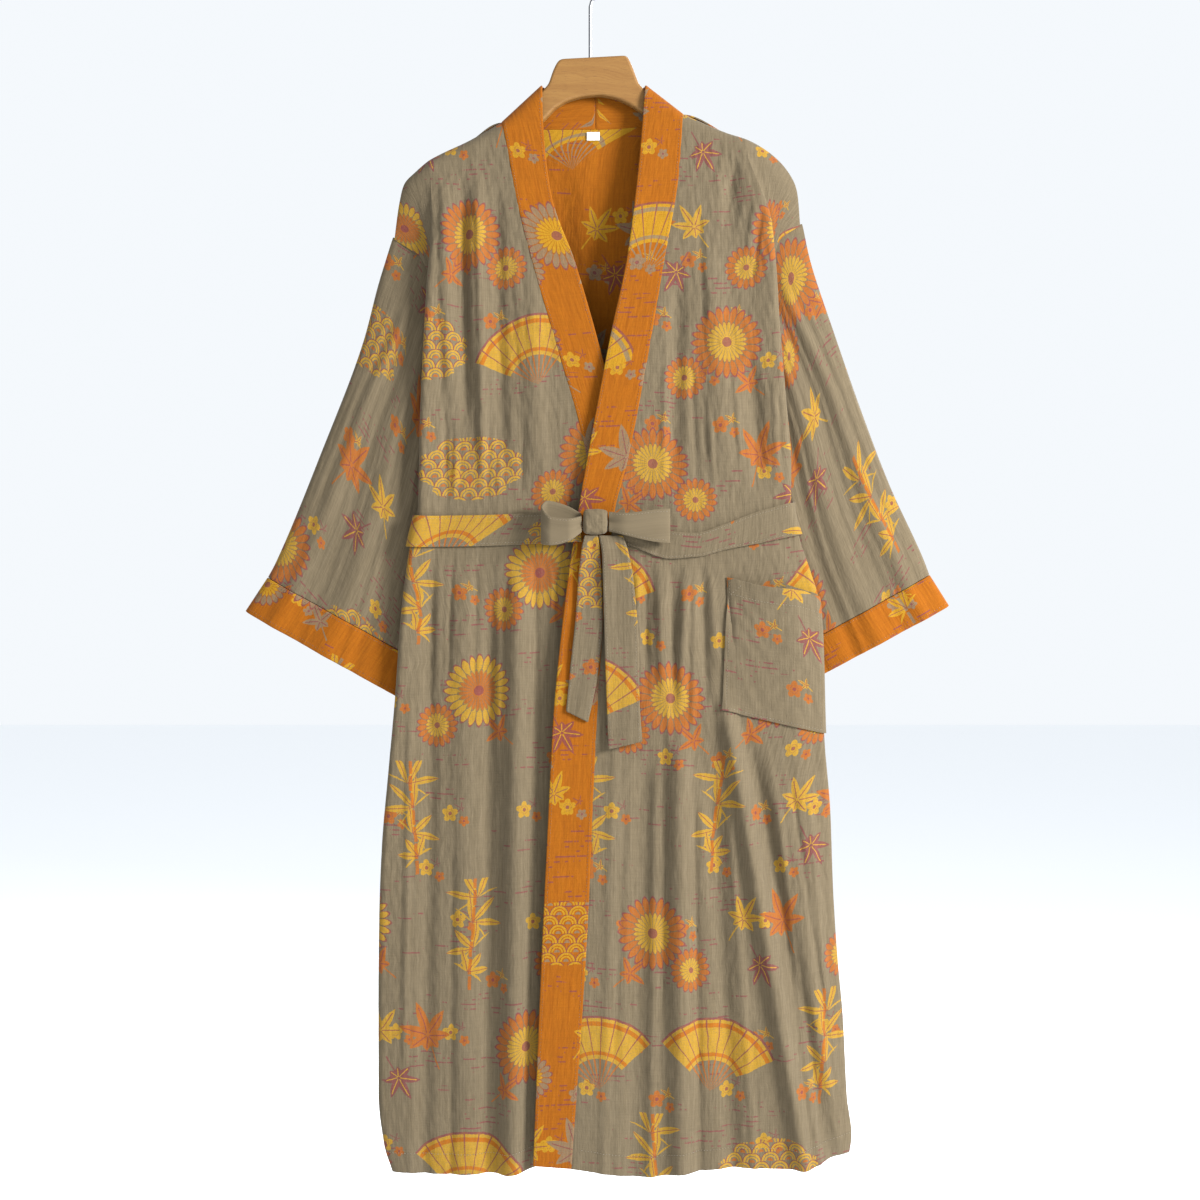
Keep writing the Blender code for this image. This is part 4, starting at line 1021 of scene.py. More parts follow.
def cotton(name, ground, light, figures=()):
    """Crinkled double cotton: its ground, its woven yarns, fine streaks, slubs, crinkle and weave, with
    painted shade in the crinkle.
    """
    material, shader, tree = new_material(name, 0.9, Sheen_Weight=0.06, Sheen_Roughness=0.45,
                                          Specular_IOR_Level=0.12)
    start = tree.nodes.new("ShaderNodeUVMap")
    start.uv_map = CLOTH_MAP
    uv = Sock(tree, start.outputs[0])
    u, v, _ = uv.xyz()
    streaks = (u * STREAKS_ACROSS).joined(v * STREAKS_DOWN).noise(1.0, 3.0, 0.6)
    slubs = (u * SLUBS_ACROSS).joined(v * SLUBS_DOWN, 4.0).noise(1.0, 2.0, 0.6)
    clouds = (u * CLOUDS_ACROSS).joined(v * CLOUDS_DOWN, 8.0).noise(1.0, 3.0)
    crinkle = (u * CRINKLE_ACROSS).joined(v * CRINKLE_DOWN, 1.0).noise(1.0, 3.0, 0.55)

    colour = streaks.ramp(0.15, 0.90).blend(ground, light)
    if figures:
        yellow, orange, plum, bare = yarns(uv)
        floats = (u * FLOATS_ACROSS).joined(v * FLOATS_DOWN, 6.0).noise(1.0, 1.0)
        cover = floats.ramp(0.30, 0.42) * YARN_COVER
        for mask, yarn in zip((yellow, orange, bare, plum), figures):
            colour = (mask * cover).blend(colour, yarn)
    # Tone from the slubs and clouds, and painted shade from the crinkle that the bump below also raises.
    tone_and_painted_shade = ((slubs - 0.5) * SLUB_SHADE + (clouds - 0.5) * CLOUD_SHADE
             + (crinkle - 0.5) * CRINKLE_PAINTED_SHADE + 1.0)
    toned_and_painted_colour = colour.node("ShaderNodeVectorMath", {"operation": "SCALE"}, in0=colour, Scale=tone_and_painted_shade)
    wire(tree, shader.inputs["Base Color"], toned_and_painted_colour)

    weave = (u * (TURN / WEAVE_PITCH)).sin() * (v * (TURN / WEAVE_PITCH)).sin()
    height = crinkle * 0.9 + streaks * 0.18 + slubs * 0.16 + weave * 0.035
    add_bump(tree, shader, height, CLOTH_BUMP, CLOTH_BUMP_DEPTH)
    print(f"{name}: {len(tree.nodes)} nodes")
    return material


printed = cotton("taupe_cotton", TAUPE, TAUPE_LIGHT, (YELLOW, ORANGE, TAUPE, PLUM))
plain = cotton("taupe_cotton_without_motifs", TAUPE, TAUPE_LIGHT)
reverse = cotton("orange_cotton", ORANGE_GROUND, ORANGE_GROUND_LIGHT,
                 (YELLOW, TAUPE_LIGHT, ORANGE_GROUND, PLUM))

# %% [markdown]
# ## Fronts and back
#
# Three panels carry the robe's weight. They hang from the shoulder line, so their columns start there
# and run to the hem. Columns are closest near the outer fold, where the cloth turns. The printed face
# is outside and the orange face is inside, where it shows through the open neck and at the hem.

# %% Panels
FACE_COLUMNS, BEHIND_COLUMNS = 112, 26
BACK_FACE_COLUMNS, BACK_BEHIND_COLUMNS = 64, 18
PANEL_ROWS = 250
EDGE_ROWS = 8
EDGE_FALL = 22.0
FACE_SPREAD, BEHIND_SPREAD, EDGE_SPREAD, ROW_SPREAD = 1.35, 1.1, 1.8, 1.12
PUCKER_HEIGHT, PUCKER_CALM = 0.32, 30
LEFT_SHIFT, BACK_SHIFT = 63, 410


def half_columns(face, behind):
    inner = CREST * (1 - (1 - np.linspace(0, 1, face + 1)) ** FACE_SPREAD)
    outer = CREST + (1 - CREST) * np.linspace(0, 1, behind + 1)[1:] ** BEHIND_SPREAD
    return np.concatenate([inner, outer])


def panel_levels(panel):
    over = panel.neck + EDGE_FALL * np.linspace(0, 1, EDGE_ROWS + 1) ** EDGE_SPREAD
    below = mix(over[-1], HEM_DROP, np.linspace(0, 1, PANEL_ROWS - EDGE_ROWS + 1) ** ROW_SPREAD)
    return np.concatenate([over, below[1:]])


def wavy(panel, s, level):
    """The level with the wave of the hem, which grows towards the hem."""
    lower = read(HEM_WAVE[panel.side], "lower", s)
    return level + lower * smooth((level - HEM_DROP + HEM_REACH) / HEM_REACH)


def puckered(points, facing=1.0):
    """Small soft dents all over, as the two layers of the cloth pull on each other."""
    x, drop = points[..., 0], -points[..., 2]
    dents = (np.sin(x * 0.47 + 1.3 * np.sin(drop * 0.071)) * np.sin(drop * 0.19 + 1.7 * np.sin(x * 0.083))
             + 0.6 * np.sin(x * 0.83 + drop * 0.13) * np.sin(drop * 0.31 - x * 0.11))
    moved = points.copy()
    moved[..., 1] += facing * PUCKER_HEIGHT * dents
    return moved


def panel_grid(panel, columns):
    level = panel_levels(panel)[:, None]
    s = columns[None, :]
    points = panel.place(s, wavy(panel, s, level))
    calm = smooth((level - panel.neck) / PUCKER_CALM)[..., None]
    return mix(points, puckered(points, panel.facing), calm)


# %% Three panels
front_half = half_columns(FACE_COLUMNS, BEHIND_COLUMNS)
back_half = half_columns(BACK_FACE_COLUMNS, BACK_BEHIND_COLUMNS)
for node, panel, columns, shift in (
        ("front_right", FRONT["right"], front_half, 0),
        ("front_left", FRONT["left"], front_half, LEFT_SHIFT),
        ("back", BACK, np.concatenate([-back_half[:0:-1], back_half]), BACK_SHIFT)):
    grid = panel_grid(panel, columns)
    piece = sew(f"robe_{node}", grid, cloth_uv(grid, shift=shift), WALL, printed, reverse,
                flipped=node != "front_left")
    dress(node, grid)

# %% [markdown]
# ## Neckband
#
# A kimono's neckband is one long strip, folded in two and edge-stitched to the fronts and the back neck.
# It shows the orange face. Its two layers make it thicker and its free edge round, so its wall is
# thicker and its bevel wider. It lies on the same surface as the front beside it.

# %% Band on the fronts
BAND_COLUMNS = 16
BAND_START = -0.02
BAND_EDGE_ROUND = 0.42
BAND_CUT_AT = {"right": 250, "left": 707}


def band_edges(side, drop):
    """The seam edge and free edge of the neckband, across from each other, as x and drop."""
    rows = BAND[side]
    return (read(rows, "seam_x", drop), drop), (read(rows, "free_x", drop), read(rows, "free_drop", drop))


def band_point(side, seam_drop, across, lift=0.0):
    """Points of the neckband on a front: across is 0 at its seam and 1 at its free edge."""
    (seam_x, seam_at), (free_x, free_at) = band_edges(side, seam_drop)
    x, drop = mix(seam_x, free_x, across), mix(seam_at, free_at, across)
    front, first = FRONT[side], BAND[side][0].drop
    depth = front.face_depth(x, np.maximum(drop, first), read(OUTER_FOLD[side], "x", drop))
    depth = mix(EDGE_HALF_GAP, depth, rounded(seam_drop - first, SHOULDER_ROUND))
    return np.stack([x, -depth - lift, -drop], -1)


band_grids = {}
for side in ("right", "left"):
    hem = wavy(FRONT[side], 0.0, panel_levels(FRONT[side]))
    seam_drop = FRONT[side].drop(0.0, hem)[:, None]
    across = np.linspace(BAND_START, 1, BAND_COLUMNS)[None, :]
    band_grids[side] = band_point(side, seam_drop, across)
    band = sew(f"band_{side}", band_grids[side], cloth_uv(band_grids[side], BAND_CUT_AT[side]), BAND_WALL,
               reverse, printed, flipped=side == "left", edge_round=BAND_EDGE_ROUND)
    dress(f"neckband_{side}", band_grids[side])

# %% Band behind the neck
BACK_BAND_START = -0.05
BACK_BAND_COLUMNS, BACK_BAND_SPREAD = 40, 1.6
BACK_BAND_CUT_AT = (930, 60)


def back_band_point(side, s, across):
    """Points of the neckband behind the neck: across is 0 at its seam and 1 at its top edge."""
    (seam_x, seam_at), (free_x, free_at) = band_edges(side, BAND[side][0].drop)
    way = 1 - np.abs(s) / Back.NECK
    upper_x, upper_at = mix(free_x, NECK_CENTRE, way), mix(free_at, BAND_TOP_DROP, way)
    top_x, top_at = BACK.top(s)
    x, drop = mix(top_x, upper_x, across), mix(top_at, upper_at, across)
    edge_x = mix(seam_x, free_x, across)
    depth = mix(EDGE_HALF_GAP, NECK_DEPTH, rounded(np.abs(x - edge_x), NECK_ROUND))
    return np.stack([x, depth, -drop], -1)


for side, sign in (("right", -1), ("left", 1)):
    s = sign * Back.NECK * (1 - np.linspace(0, 1, BACK_BAND_COLUMNS) ** BACK_BAND_SPREAD)[::-1][:, None]
    s = np.where(np.abs(s) < 1e-9, 0.0, s)[::-1]
    grid = back_band_point(side, s, np.linspace(BACK_BAND_START, 1, BAND_COLUMNS)[None, :])
    uv = cloth_uv(grid, BACK_BAND_CUT_AT[0] * sign, BACK_BAND_CUT_AT[1])
    band = sew(f"band_back_{side}", grid, uv, BAND_WALL, reverse, reverse, flipped=side == "right",
               edge_round=BAND_EDGE_ROUND)
    dress(f"neckband_back_{side}", grid)

# %% [markdown]
# ## Sleeves and cuffs
#
# Each sleeve is a straight tube set into a dropped shoulder and pressed flat by its own weight, with a
# cuff of the orange face turned back at its end. It is a ring of points that runs from the armhole to
# the cuff: the ring's two faces lie close together, and long soft folds run down it from the shoulder.

# %% Sleeve tables
SLEEVE_TOP = {
    "right": table("way x drop", (0.0, -217, 311), (0.13, -233, 357), (0.31, -251, 424),
                   (0.65, -298, 548), (0.96, -349, 671), (1.0, -357, 686)),
    "left": table("way x drop", (0.0, 233, 296), (0.1, 243, 334), (0.32, 271, 417), (0.54, 300, 500),
                  (0.76, 332, 584), (0.96, 370, 667), (1.0, 376, 683)),
}
SLEEVE_UNDER = {
    "right": table("way x drop", (0.0, -153, 462), (0.12, -158, 495), (0.3, -161, 545),
                   (0.6, -163, 640), (0.85, -172, 733), (1.0, -181, 783)),
    "left": table("way x drop", (0.0, 178, 462), (0.12, 183, 492), (0.3, 186, 544), (0.6, 191, 633),
                  (0.85, 207, 733), (1.0, 219, 770)),
}
CUFF_EDGE = {"right": ((-382, 724), (-191, 831)), "left": ((398, 718), (229, 809))}
CUFF_DEPTH = 46.0
SLEEVE_HALF = table("way half", (0.0, 6), (0.2, 9), (0.6, 11), (1.0, 12))
SLEEVE_FOLDS = table("across_top across_low half_width height",
                     (0.20, 0.16, 0.07, 3.0), (0.34, 0.30, 0.07, -2.5), (0.50, 0.46, 0.09, 3.0),
                     (0.66, 0.62, 0.06, -2.0))
SLEEVE_CREASES = table("across_top across_low start end half_width height",
                       (0.10, 0.06, 0.05, 0.9, 0.022, 1.2), (0.27, 0.24, 0.1, 1.0, 0.025, -1.2),
                       (0.42, 0.40, 0.0, 0.7, 0.022, 1.2), (0.45, 0.36, 0.5, 1.0, 0.022, -1.0),
                       (0.58, 0.56, 0.2, 1.0, 0.025, 1.2), (0.74, 0.70, 0.0, 0.8, 0.025, 1.3),
                       (0.84, 0.80, 0.3, 1.0, 0.022, -1.1))
SLEEVE_FOLD_FADE, SLEEVE_CREASE_FADE = 0.25, 0.2
ARMHOLE_TUCK = 2.2
ARMHOLE_LEAST = 3.0
ARMHOLE_STEP = -2.2
ARMHOLE_REACH = 0.16
SLEEVE_SEAM_REACH = 0.5
SLEEVE_ROUNDNESS, SLEEVE_TAPER = 0.7, 0.3
SLEEVE_AROUND, SLEEVE_ALONG, CUFF_ALONG = 132, 96, 12
SLEEVE_SPREAD = 1.08
SLEEVE_CUT_AT = {"right": (1180, 75), "left": (1690, 15)}
CUFF_CUT_AT = {"right": (1880, 90), "left": (2390, 90)}

print("sleeve:", SLEEVE_AROUND, "points round,", SLEEVE_ALONG, "rows")

# %% Sleeve surface
def sleeve_ridge(fold, across, way):
    return ridge(np.abs(across - mix(fold.across_top, fold.across_low, way)) / fold.half_width)


def sleeve_point(side, way, angle):
    """Points of the sleeve's middle surface; way past 1 is on the cuff."""
    way, angle = np.broadcast_arrays(np.asarray(way, float), np.asarray(angle, float))
    across = (1 - np.cos(angle)) / 2
    facing = np.where(np.sin(angle) > 0, -1.0, 1.0)
    tops, unders, seam = SLEEVE_TOP[side], SLEEVE_UNDER[side], SIDE_SEAM[side]
    inner_way = np.minimum(way, 1.0)
    seam_drop = mix(seam[0].drop, unders[0].drop, across)
    bow_x = read(seam, "x", seam_drop) - mix(tops[0].x, unders[0].x, across)
    bow_drop = seam_drop - mix(tops[0].drop, unders[0].drop, across)
    fade = 1 - smooth(inner_way / SLEEVE_SEAM_REACH)
    x = mix(read(tops, "x", inner_way), read(unders, "x", inner_way), across) + bow_x * fade
    drop = mix(read(tops, "drop", inner_way), read(unders, "drop", inner_way), across) + bow_drop * fade
    (top_x, top_drop), (low_x, low_drop) = CUFF_EDGE[side]
    past = np.maximum(way - 1, 0)
    x = mix(x, mix(top_x, low_x, across), past)
    drop = mix(drop, mix(top_drop, low_drop, across), past)
    full = np.abs(np.sin(angle)) ** SLEEVE_ROUNDNESS * (1 - SLEEVE_TAPER * across)
    half = read(SLEEVE_HALF, "half", inner_way) * full
    for fold in SLEEVE_FOLDS:
        fades = smooth(inner_way / SLEEVE_FOLD_FADE)
        half = half + fold.height * fades * sleeve_ridge(fold, across, inner_way)
    for fold in SLEEVE_CREASES:
        fades = smooth((inner_way - fold.start) / SLEEVE_CREASE_FADE)
        if fold.end < 1:
            fades = fades * smooth((fold.end - inner_way) / SLEEVE_CREASE_FADE)
        half = half + fold.height * fades * sleeve_ridge(fold, across, inner_way) * smooth(full / 0.6)
    tucked = np.maximum(read(seam, "depth", seam_drop) - ARMHOLE_TUCK, ARMHOLE_LEAST * full)
    half = mix(tucked, half, smooth(inner_way / ARMHOLE_REACH))
    down = np.array([tops[-1].x - tops[0].x, tops[-1].drop - tops[0].drop], float)
    down = down / np.linalg.norm(down)
    step = ARMHOLE_STEP * np.maximum(1 - inner_way / ARMHOLE_REACH, 0)
    return np.stack([x + down[0] * step, facing * half, -(drop + down[1] * step)], -1)


def sleeve_grid(side, ways):
    share = np.linspace(0, 1, SLEEVE_AROUND // 2 + 1)
    half = np.arccos(1 - 2 * share)
    angles = np.concatenate([half, 2 * math.pi - half[-2:0:-1]])
    return sleeve_point(side, np.asarray(ways)[:, None], angles[None, :])


# %% Two sleeves and cuffs
for side in ("right", "left"):
    grid = sleeve_grid(side, np.linspace(0, 1, SLEEVE_ALONG + 1) ** SLEEVE_SPREAD)
    sleeve = sew(f"robe_sleeve_{side}", grid, cloth_uv(grid, *SLEEVE_CUT_AT[side]), WALL, printed, reverse,
                 closed=True, flipped=side == "left")
    dress(f"sleeve_{side}", grid)

    grid = sleeve_grid(side, np.linspace(1 + 2 * SEAM_GAP / CUFF_DEPTH, 2, CUFF_ALONG + 1))
    cuff = sew(f"robe_cuff_{side}", grid, cloth_uv(grid, *CUFF_CUT_AT[side]), CUFF_WALL, reverse, printed,
               closed=True, flipped=side == "left", edge_round=BAND_EDGE_ROUND)
    dress(f"cuff_{side}", grid)

# %% [markdown]
# ## Pocket
#
# A patch pocket is a flat piece with its edges turned under, top-stitched to the front on three sides.
# Its mouth gapes a little. It is the front's own surface moved out, more so at the mouth.

# %% Pocket
POCKET_EDGE_X = table("v x", (0.0, 150), (1.0, 144))
POCKET_TOP = table("u drop", (0.0, 686), (0.4, 696), (0.8, 701), (1.0, 708))
POCKET_LOW = table("u drop", (0.0, 831), (1.0, 857))
POCKET_GAPE = 8.0
POCKET_LIFT = 2.4
POCKET_COLUMNS, POCKET_ROWS = 60, 64
POCKET_SHIFT, POCKET_CUT_DROP = 2230, 300
POCKET_TURNING = 0.12


def pocket_point(u, v, lift=0.0):
    front = FRONT["left"]
    drop = mix(read(POCKET_TOP, "drop", u), read(POCKET_LOW, "drop", u), v)
    s = mix(front.s_at(read(POCKET_EDGE_X, "x", v), drop), CREST, u)
    gape = POCKET_GAPE * np.sin(math.pi * u) * (1 - v) ** 2
    crumple = 0.5 * np.sin(u * 23 + 2.0 * np.sin(v * 9)) * np.sin(v * 31 + 1.5 * np.sin(u * 11))
    for inside in (u, 1 - u, 1 - v):
        crumple = crumple * smooth(inside / POCKET_TURNING)
    return front.lifted(s, drop, POCKET_LIFT + gape + crumple + lift)


grid = pocket_point(np.linspace(0, 1, POCKET_COLUMNS)[None, :], np.linspace(0, 1, POCKET_ROWS)[:, None])
uv = cloth_uv(grid, start_drop=POCKET_CUT_DROP, shift=POCKET_SHIFT)
pocket = sew("robe_pocket", grid, uv, WALL, printed, printed, edge_round=BAND_EDGE_ROUND)
dress("pocket", grid)

# %% [markdown]
# ## Belt and bow
#
# The belt is one long folded and top-stitched strip. Round the body it lies on the panels' surface, a
# little off the cloth. In front it climbs onto the upper neckband and is tied in a bow of two loops and
# two tails round a small square knot.

# %% Belt round the body
BELT_RIGHT = table("x upper lower", (-200, 619, 653), (-120, 618, 652), (-52, 616, 649), (-6, 616, 647))
BELT_LEFT = table("x upper lower", (24, 619, 646), (50, 627, 653), (86, 636, 666), (113, 638, 664),
                  (144, 629, 656), (180, 616, 649), (222, 604, 640))
BELT_SIDE = {"right": (619, 653), "left": (603, 638)}
BELT_LIFT = WALL / 2 + BELT_WALL / 2 + 0.8
BELT_ROUND_LIFT = 1.5
BELT_ROUND_START, BELT_ROUND_SPAN = 0.85, 0.12
BELT_SIDE_HALF_GAP = 1.1
BELT_SEAM_LIFT = 4.5
BELT_OVER_BAND = 0.7
BELT_OVER_BAND_END, BELT_OVER_BAND_FADE = 60.0, 25.0
BELT_CLIMB_START, BELT_CLIMB_END = -90.0, -22.0
BELT_RIGHT_END, BELT_LEFT_END = -10.0, 26.0
BELT_SEAM_START, BELT_SEAM_SPAN = 0.972, 0.028
BELT_CREASES, BELT_CREASE_REACH = 4, 60.0
BELT_CREASE_LEAST, BELT_CREASE_MORE = 0.15, 0.75
BELT_ACROSS = 13
BELT_COLUMNS = 150
BELT_EDGE_ROUND = 0.45
BELT_CUT_AT = {"right": (2510, 40), "left": (2890, 118), "back": (3220, 30)}


def belt_side(side, share):
    upper, lower = BELT_SIDE[side]
    return mix(upper, lower, share)


def belt_point(panel, s, drop):
    """The belt over a panel, standing further off where it goes round a fold."""
    s, drop = np.broadcast_arrays(s, drop)
    lift = BELT_LIFT + BELT_ROUND_LIFT * smooth((np.abs(s) / CREST - BELT_ROUND_START) / BELT_ROUND_SPAN)
    lying = panel.lifted(s, drop, lift)
    seam = panel.place(s, drop)
    out = seam[..., 0] + np.copysign(BELT_SEAM_LIFT, seam[..., 0])
    at_seam = np.stack([out, panel.facing * BELT_SIDE_HALF_GAP + 0 * out, -drop], -1)
    return mix(lying, at_seam, smooth((np.abs(s) - BELT_SEAM_START) / BELT_SEAM_SPAN)[..., None])


def belt_creases(points, knot_x):
    """Shallow lengthwise creases that run towards the knot."""
    near = np.exp(-((points[..., 0] - knot_x) / BELT_CREASE_REACH) ** 2)
    across = np.linspace(0, 1, points.shape[0])[:, None]
    moved = points.copy()
    moved[..., 1] -= (BELT_CREASE_LEAST + BELT_CREASE_MORE * near) * np.sin(across * math.pi * BELT_CREASES)
    return moved


belt_grids = []


def lay_belt(side, grid):
    """Sews a stretch of the belt and keeps its grid for the stitching."""
    facing = 1 if side == "back" else -1
    belt_grids.append((grid, facing))
    belt = sew(f"robe_belt_{side}", grid, cloth_uv(grid, *BELT_CUT_AT[side]), BELT_WALL, printed, printed,
               flipped=facing < 0, edge_round=BELT_EDGE_ROUND)
    dress(f"belt_{side}", grid.transpose(1, 0, 2))


# %% Three stretches of the belt
share = np.linspace(0, 1, BELT_ACROSS)[:, None]
for side, path, knot_x in (("right", BELT_RIGHT, BELT_RIGHT_END), ("left", BELT_LEFT, BELT_LEFT_END)):
    panel, row_middle = FRONT[side], sum(BELT_SIDE[side]) / 2
    knot_s = float(panel.s_at(knot_x, row_middle))
    first_s, last_s = (1.0, knot_s) if side == "right" else (knot_s, 1.0)
    s = mix(first_s, last_s, np.linspace(0, 1, BELT_COLUMNS)[None, :]) * np.ones_like(share)
    x = panel.row_x(s, row_middle)
    drop = mix(read(path, "upper", x), read(path, "lower", x), share)
    drop = mix(drop, belt_side(side, share), (s > CREST) * 1.0)
    belt_grid = belt_point(panel, s, drop)
    if side == "right":
        on_band = FRONT["left"].face_depth(x, drop, read(OUTER_FOLD["left"], "x", drop))
        climb = smooth((x - BELT_CLIMB_START) / (BELT_CLIMB_END - BELT_CLIMB_START)) * (s < CREST)
        belt_grid[..., 1] = mix(belt_grid[..., 1], -(on_band + BELT_LIFT + BAND_WALL / 2), climb)
    else:
        belt_grid[..., 1] -= BELT_OVER_BAND * smooth((BELT_OVER_BAND_END - x) / BELT_OVER_BAND_FADE)
    lay_belt(side, belt_creases(belt_grid, knot_x))

s = np.linspace(-1, 1, 2 * BELT_COLUMNS)[None, :] * np.ones_like(share)
drop = mix(belt_side("right", share), belt_side("left", share), smooth((s + 1) / 2))
lay_belt("back", belt_point(BACK, s, drop))

# %% Bow tables
KNOT_AT = (6, -43.0, -626)
KNOT_SIZE = (14, 7, 14)
BOW_DEPTH = 35.2
LOOPS = {
    "right": table("way x depth upper lower", (0.0, -9.2, 9, 620, 637), (0.2, -24, 18, 623, 648),
                   (0.4, -42, 18, 621, 652), (0.5, -52, 11.5, 609, 650), (0.6, -46, 5.5, 603, 640),
                   (0.8, -26, 3.6, 608, 638), (1.0, -9.2, 4.2, 617, 634)),
    "left": table("way x depth upper lower", (0.0, 20.8, 10, 616, 636), (0.2, 40, 15, 617, 641),
                  (0.4, 72, 13, 613, 648), (0.5, 86, 9.5, 612, 649), (0.6, 78, 5.5, 612, 648),
                  (0.8, 42, 4.2, 616, 641), (1.0, 20.8, 4.4, 617, 636)),
}
TAILS = {
    "right": table("drop left_x right_x depth", (640.6, -6, 9, 7), (655, -9, 11, 5), (690, -13, 13, 2.8),
                   (733, -16, 14, 3.2), (790, -22, 9, 4), (838, -26, -2, 4.6)),
    "left": table("drop left_x right_x depth", (640.9, 9.5, 36, 7.5), (660, 13, 42, 8), (687, 14, 47, 8.4),
                  (760, 16, 53, 9), (820, 18, 54, 9), (869, 20, 57, 9.5)),
}
TAIL_SLANT = {"right": 12.0, "left": -9.0}
LOOP_COLUMNS, RIBBON_ACROSS, TAIL_ROWS = 70, 14, 90
LOOP_PINCH, TAIL_PINCH = 0.10, 0.12
LOOP_CUT_AT = {"right": (3700, 66), "left": (3900, 66)}
TAIL_CUT_AT = {"right": (4100, 20), "left": (4230, 20)}

# %% Loops
loop_grids = {}
for side, path in LOOPS.items():
    way = np.linspace(0, 1, LOOP_COLUMNS)[None, :]
    share = np.linspace(0, 1, RIBBON_ACROSS)[:, None]
    pinch = np.exp(-np.minimum(way, 1 - way) / LOOP_PINCH)
    crumple = (0.5 + 1.1 * pinch) * np.sin(share * math.pi * 3 + way * 2.0)
    x = read(path, "x", way) + 0 * share
    depth = read(path, "depth", way) + crumple * np.where(way < 0.5, 1, 0.35)
    drop = mix(read(path, "upper", way), read(path, "lower", way), share)
    grid = np.stack([x, -BOW_DEPTH - depth, -drop], -1)
    loop_grids[side] = grid
    loop = sew(f"robe_bow_loop_{side}", grid, cloth_uv(grid, *LOOP_CUT_AT[side]), BELT_WALL, plain, plain,
               flipped=side == "left", edge_round=BELT_EDGE_ROUND)
    dress(f"bow_loop_{side}", grid.transpose(1, 0, 2))

# %% Tails
tail_grids = {}
for side, path in TAILS.items():
    share = np.linspace(0, 1, RIBBON_ACROSS)[None, :]
    down = np.linspace(0, 1, TAIL_ROWS)[:, None]
    drop = mix(path[0].drop, path[-1].drop, down)
    x = mix(read(path, "left_x", drop), read(path, "right_x", drop), share)
    pinch = np.exp(-down / TAIL_PINCH)
    ripple = (0.35 + 0.9 * pinch) * np.sin(share * math.pi * 2.5 + down * 3.0)
    ripple = ripple + 0.5 * np.sin(down * 13 + share * 2)
    hung = drop + TAIL_SLANT[side] * (share - 0.5) * smooth((down - 0.75) / 0.25)
    grid = np.stack([x, -BOW_DEPTH - read(path, "depth", drop) - ripple * smooth(down / 0.05), -hung], -1)
    tail_grids[side] = grid
    tail = sew(f"robe_belt_tail_{side}", grid, cloth_uv(grid, *TAIL_CUT_AT[side]), BELT_WALL,
               printed, printed, edge_round=BELT_EDGE_ROUND)
    dress(f"belt_tail_{side}", grid)

# %% [markdown]
# ## Knot
#
# The knot is the same strip, wrapped once round the belt and drawn tight into a soft cushion. It could
# be a sheet too, but its ends can't be seen, so it is a bevelled and subdivided box that is dented by a
# soft pattern. The cube mapping gives its UVs in metres.

# %% Knot
def stand_for(piece, node):
    """Puts a finished piece in the frame's only body, in the place of a node."""
    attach(piece, "root")
    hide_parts(node)
    print(f"{piece.name}: {len(piece.data.polygons)} faces")


KNOT_SOFTNESS = 6.0 * MM
KNOT_DENT = 2.2 * MM
KNOT_DENT_SIZE, KNOT_DENT_MIDDLE = 0.011, 0.62

bpy.ops.object.select_all(action="DESELECT")
bpy.ops.mesh.primitive_cube_add(size=2, location=[value * MM for value in KNOT_AT])
knot = bpy.context.object
knot.name = "robe_belt_knot"
knot.scale = [value * MM for value in KNOT_SIZE]
bpy.ops.object.transform_apply(location=True, rotation=False, scale=True)
soften = knot.modifiers.new("soft", "BEVEL")
soften.width = KNOT_SOFTNESS
soften.segments = 4
finer = knot.modifiers.new("finer", "SUBSURF")
finer.levels = 4
dent_pattern = bpy.data.textures.new("drawn_cloth", "CLOUDS")
dent_pattern.noise_scale = KNOT_DENT_SIZE
dents = knot.modifiers.new("dents", "DISPLACE")
dents.texture = dent_pattern
dents.texture_coords = "LOCAL"
dents.strength = KNOT_DENT
dents.mid_level = KNOT_DENT_MIDDLE
apply_modifiers(knot)
bpy.ops.object.mode_set(mode="EDIT")
bpy.ops.mesh.select_all(action="SELECT")
bpy.ops.uv.cube_project(cube_size=1.0)
bpy.ops.object.mode_set(mode="OBJECT")
knot.data.uv_layers.active.name = CLOTH_MAP
knot.data.shade_smooth()
knot.data.materials.append(plain)
stand_for(knot, "belt_knot")

# %% [markdown]
# ## Stitching
#
# Rows of stitches show where layers meet: two fingers above the hem, beside both edges of the band, on
# the cuffs, round the pocket and along the belt. Each stitch is a short thread that dips into the cloth
# at both ends. They could be painted, but a real thread catches the light, and the rows follow the same
# surfaces as the cloth. One helper lays a row along any line of points.

# %% A row of stitches
STITCH, STITCH_GAP = 2.3, 1.1
THREAD = 0.30
THREAD_TWISTS = 2600.0
STITCH_SIDES = 5
thread_rows = {"taupe": [], "orange": []}


def stitch_row(thread, points, out):
    """Lays stitches along a line of points; out gives the way off the cloth at each point."""
    points, out = np.asarray(points, float), np.broadcast_to(out, np.shape(points))
    run = lengths_along(points[None], 1)[0]
    starts = np.arange(STITCH_GAP, run[-1] - STITCH, STITCH + STITCH_GAP)
    ends = {}
    for key, at in (("start", starts), ("end", starts + STITCH)):
        ends[key] = np.stack([np.interp(at, run, points[:, k]) for k in range(3)], -1)
    off = np.stack([np.interp(starts, run, out[:, k]) for k in range(3)], -1)
    thread_rows[thread].append((ends["start"], ends["end"], off))


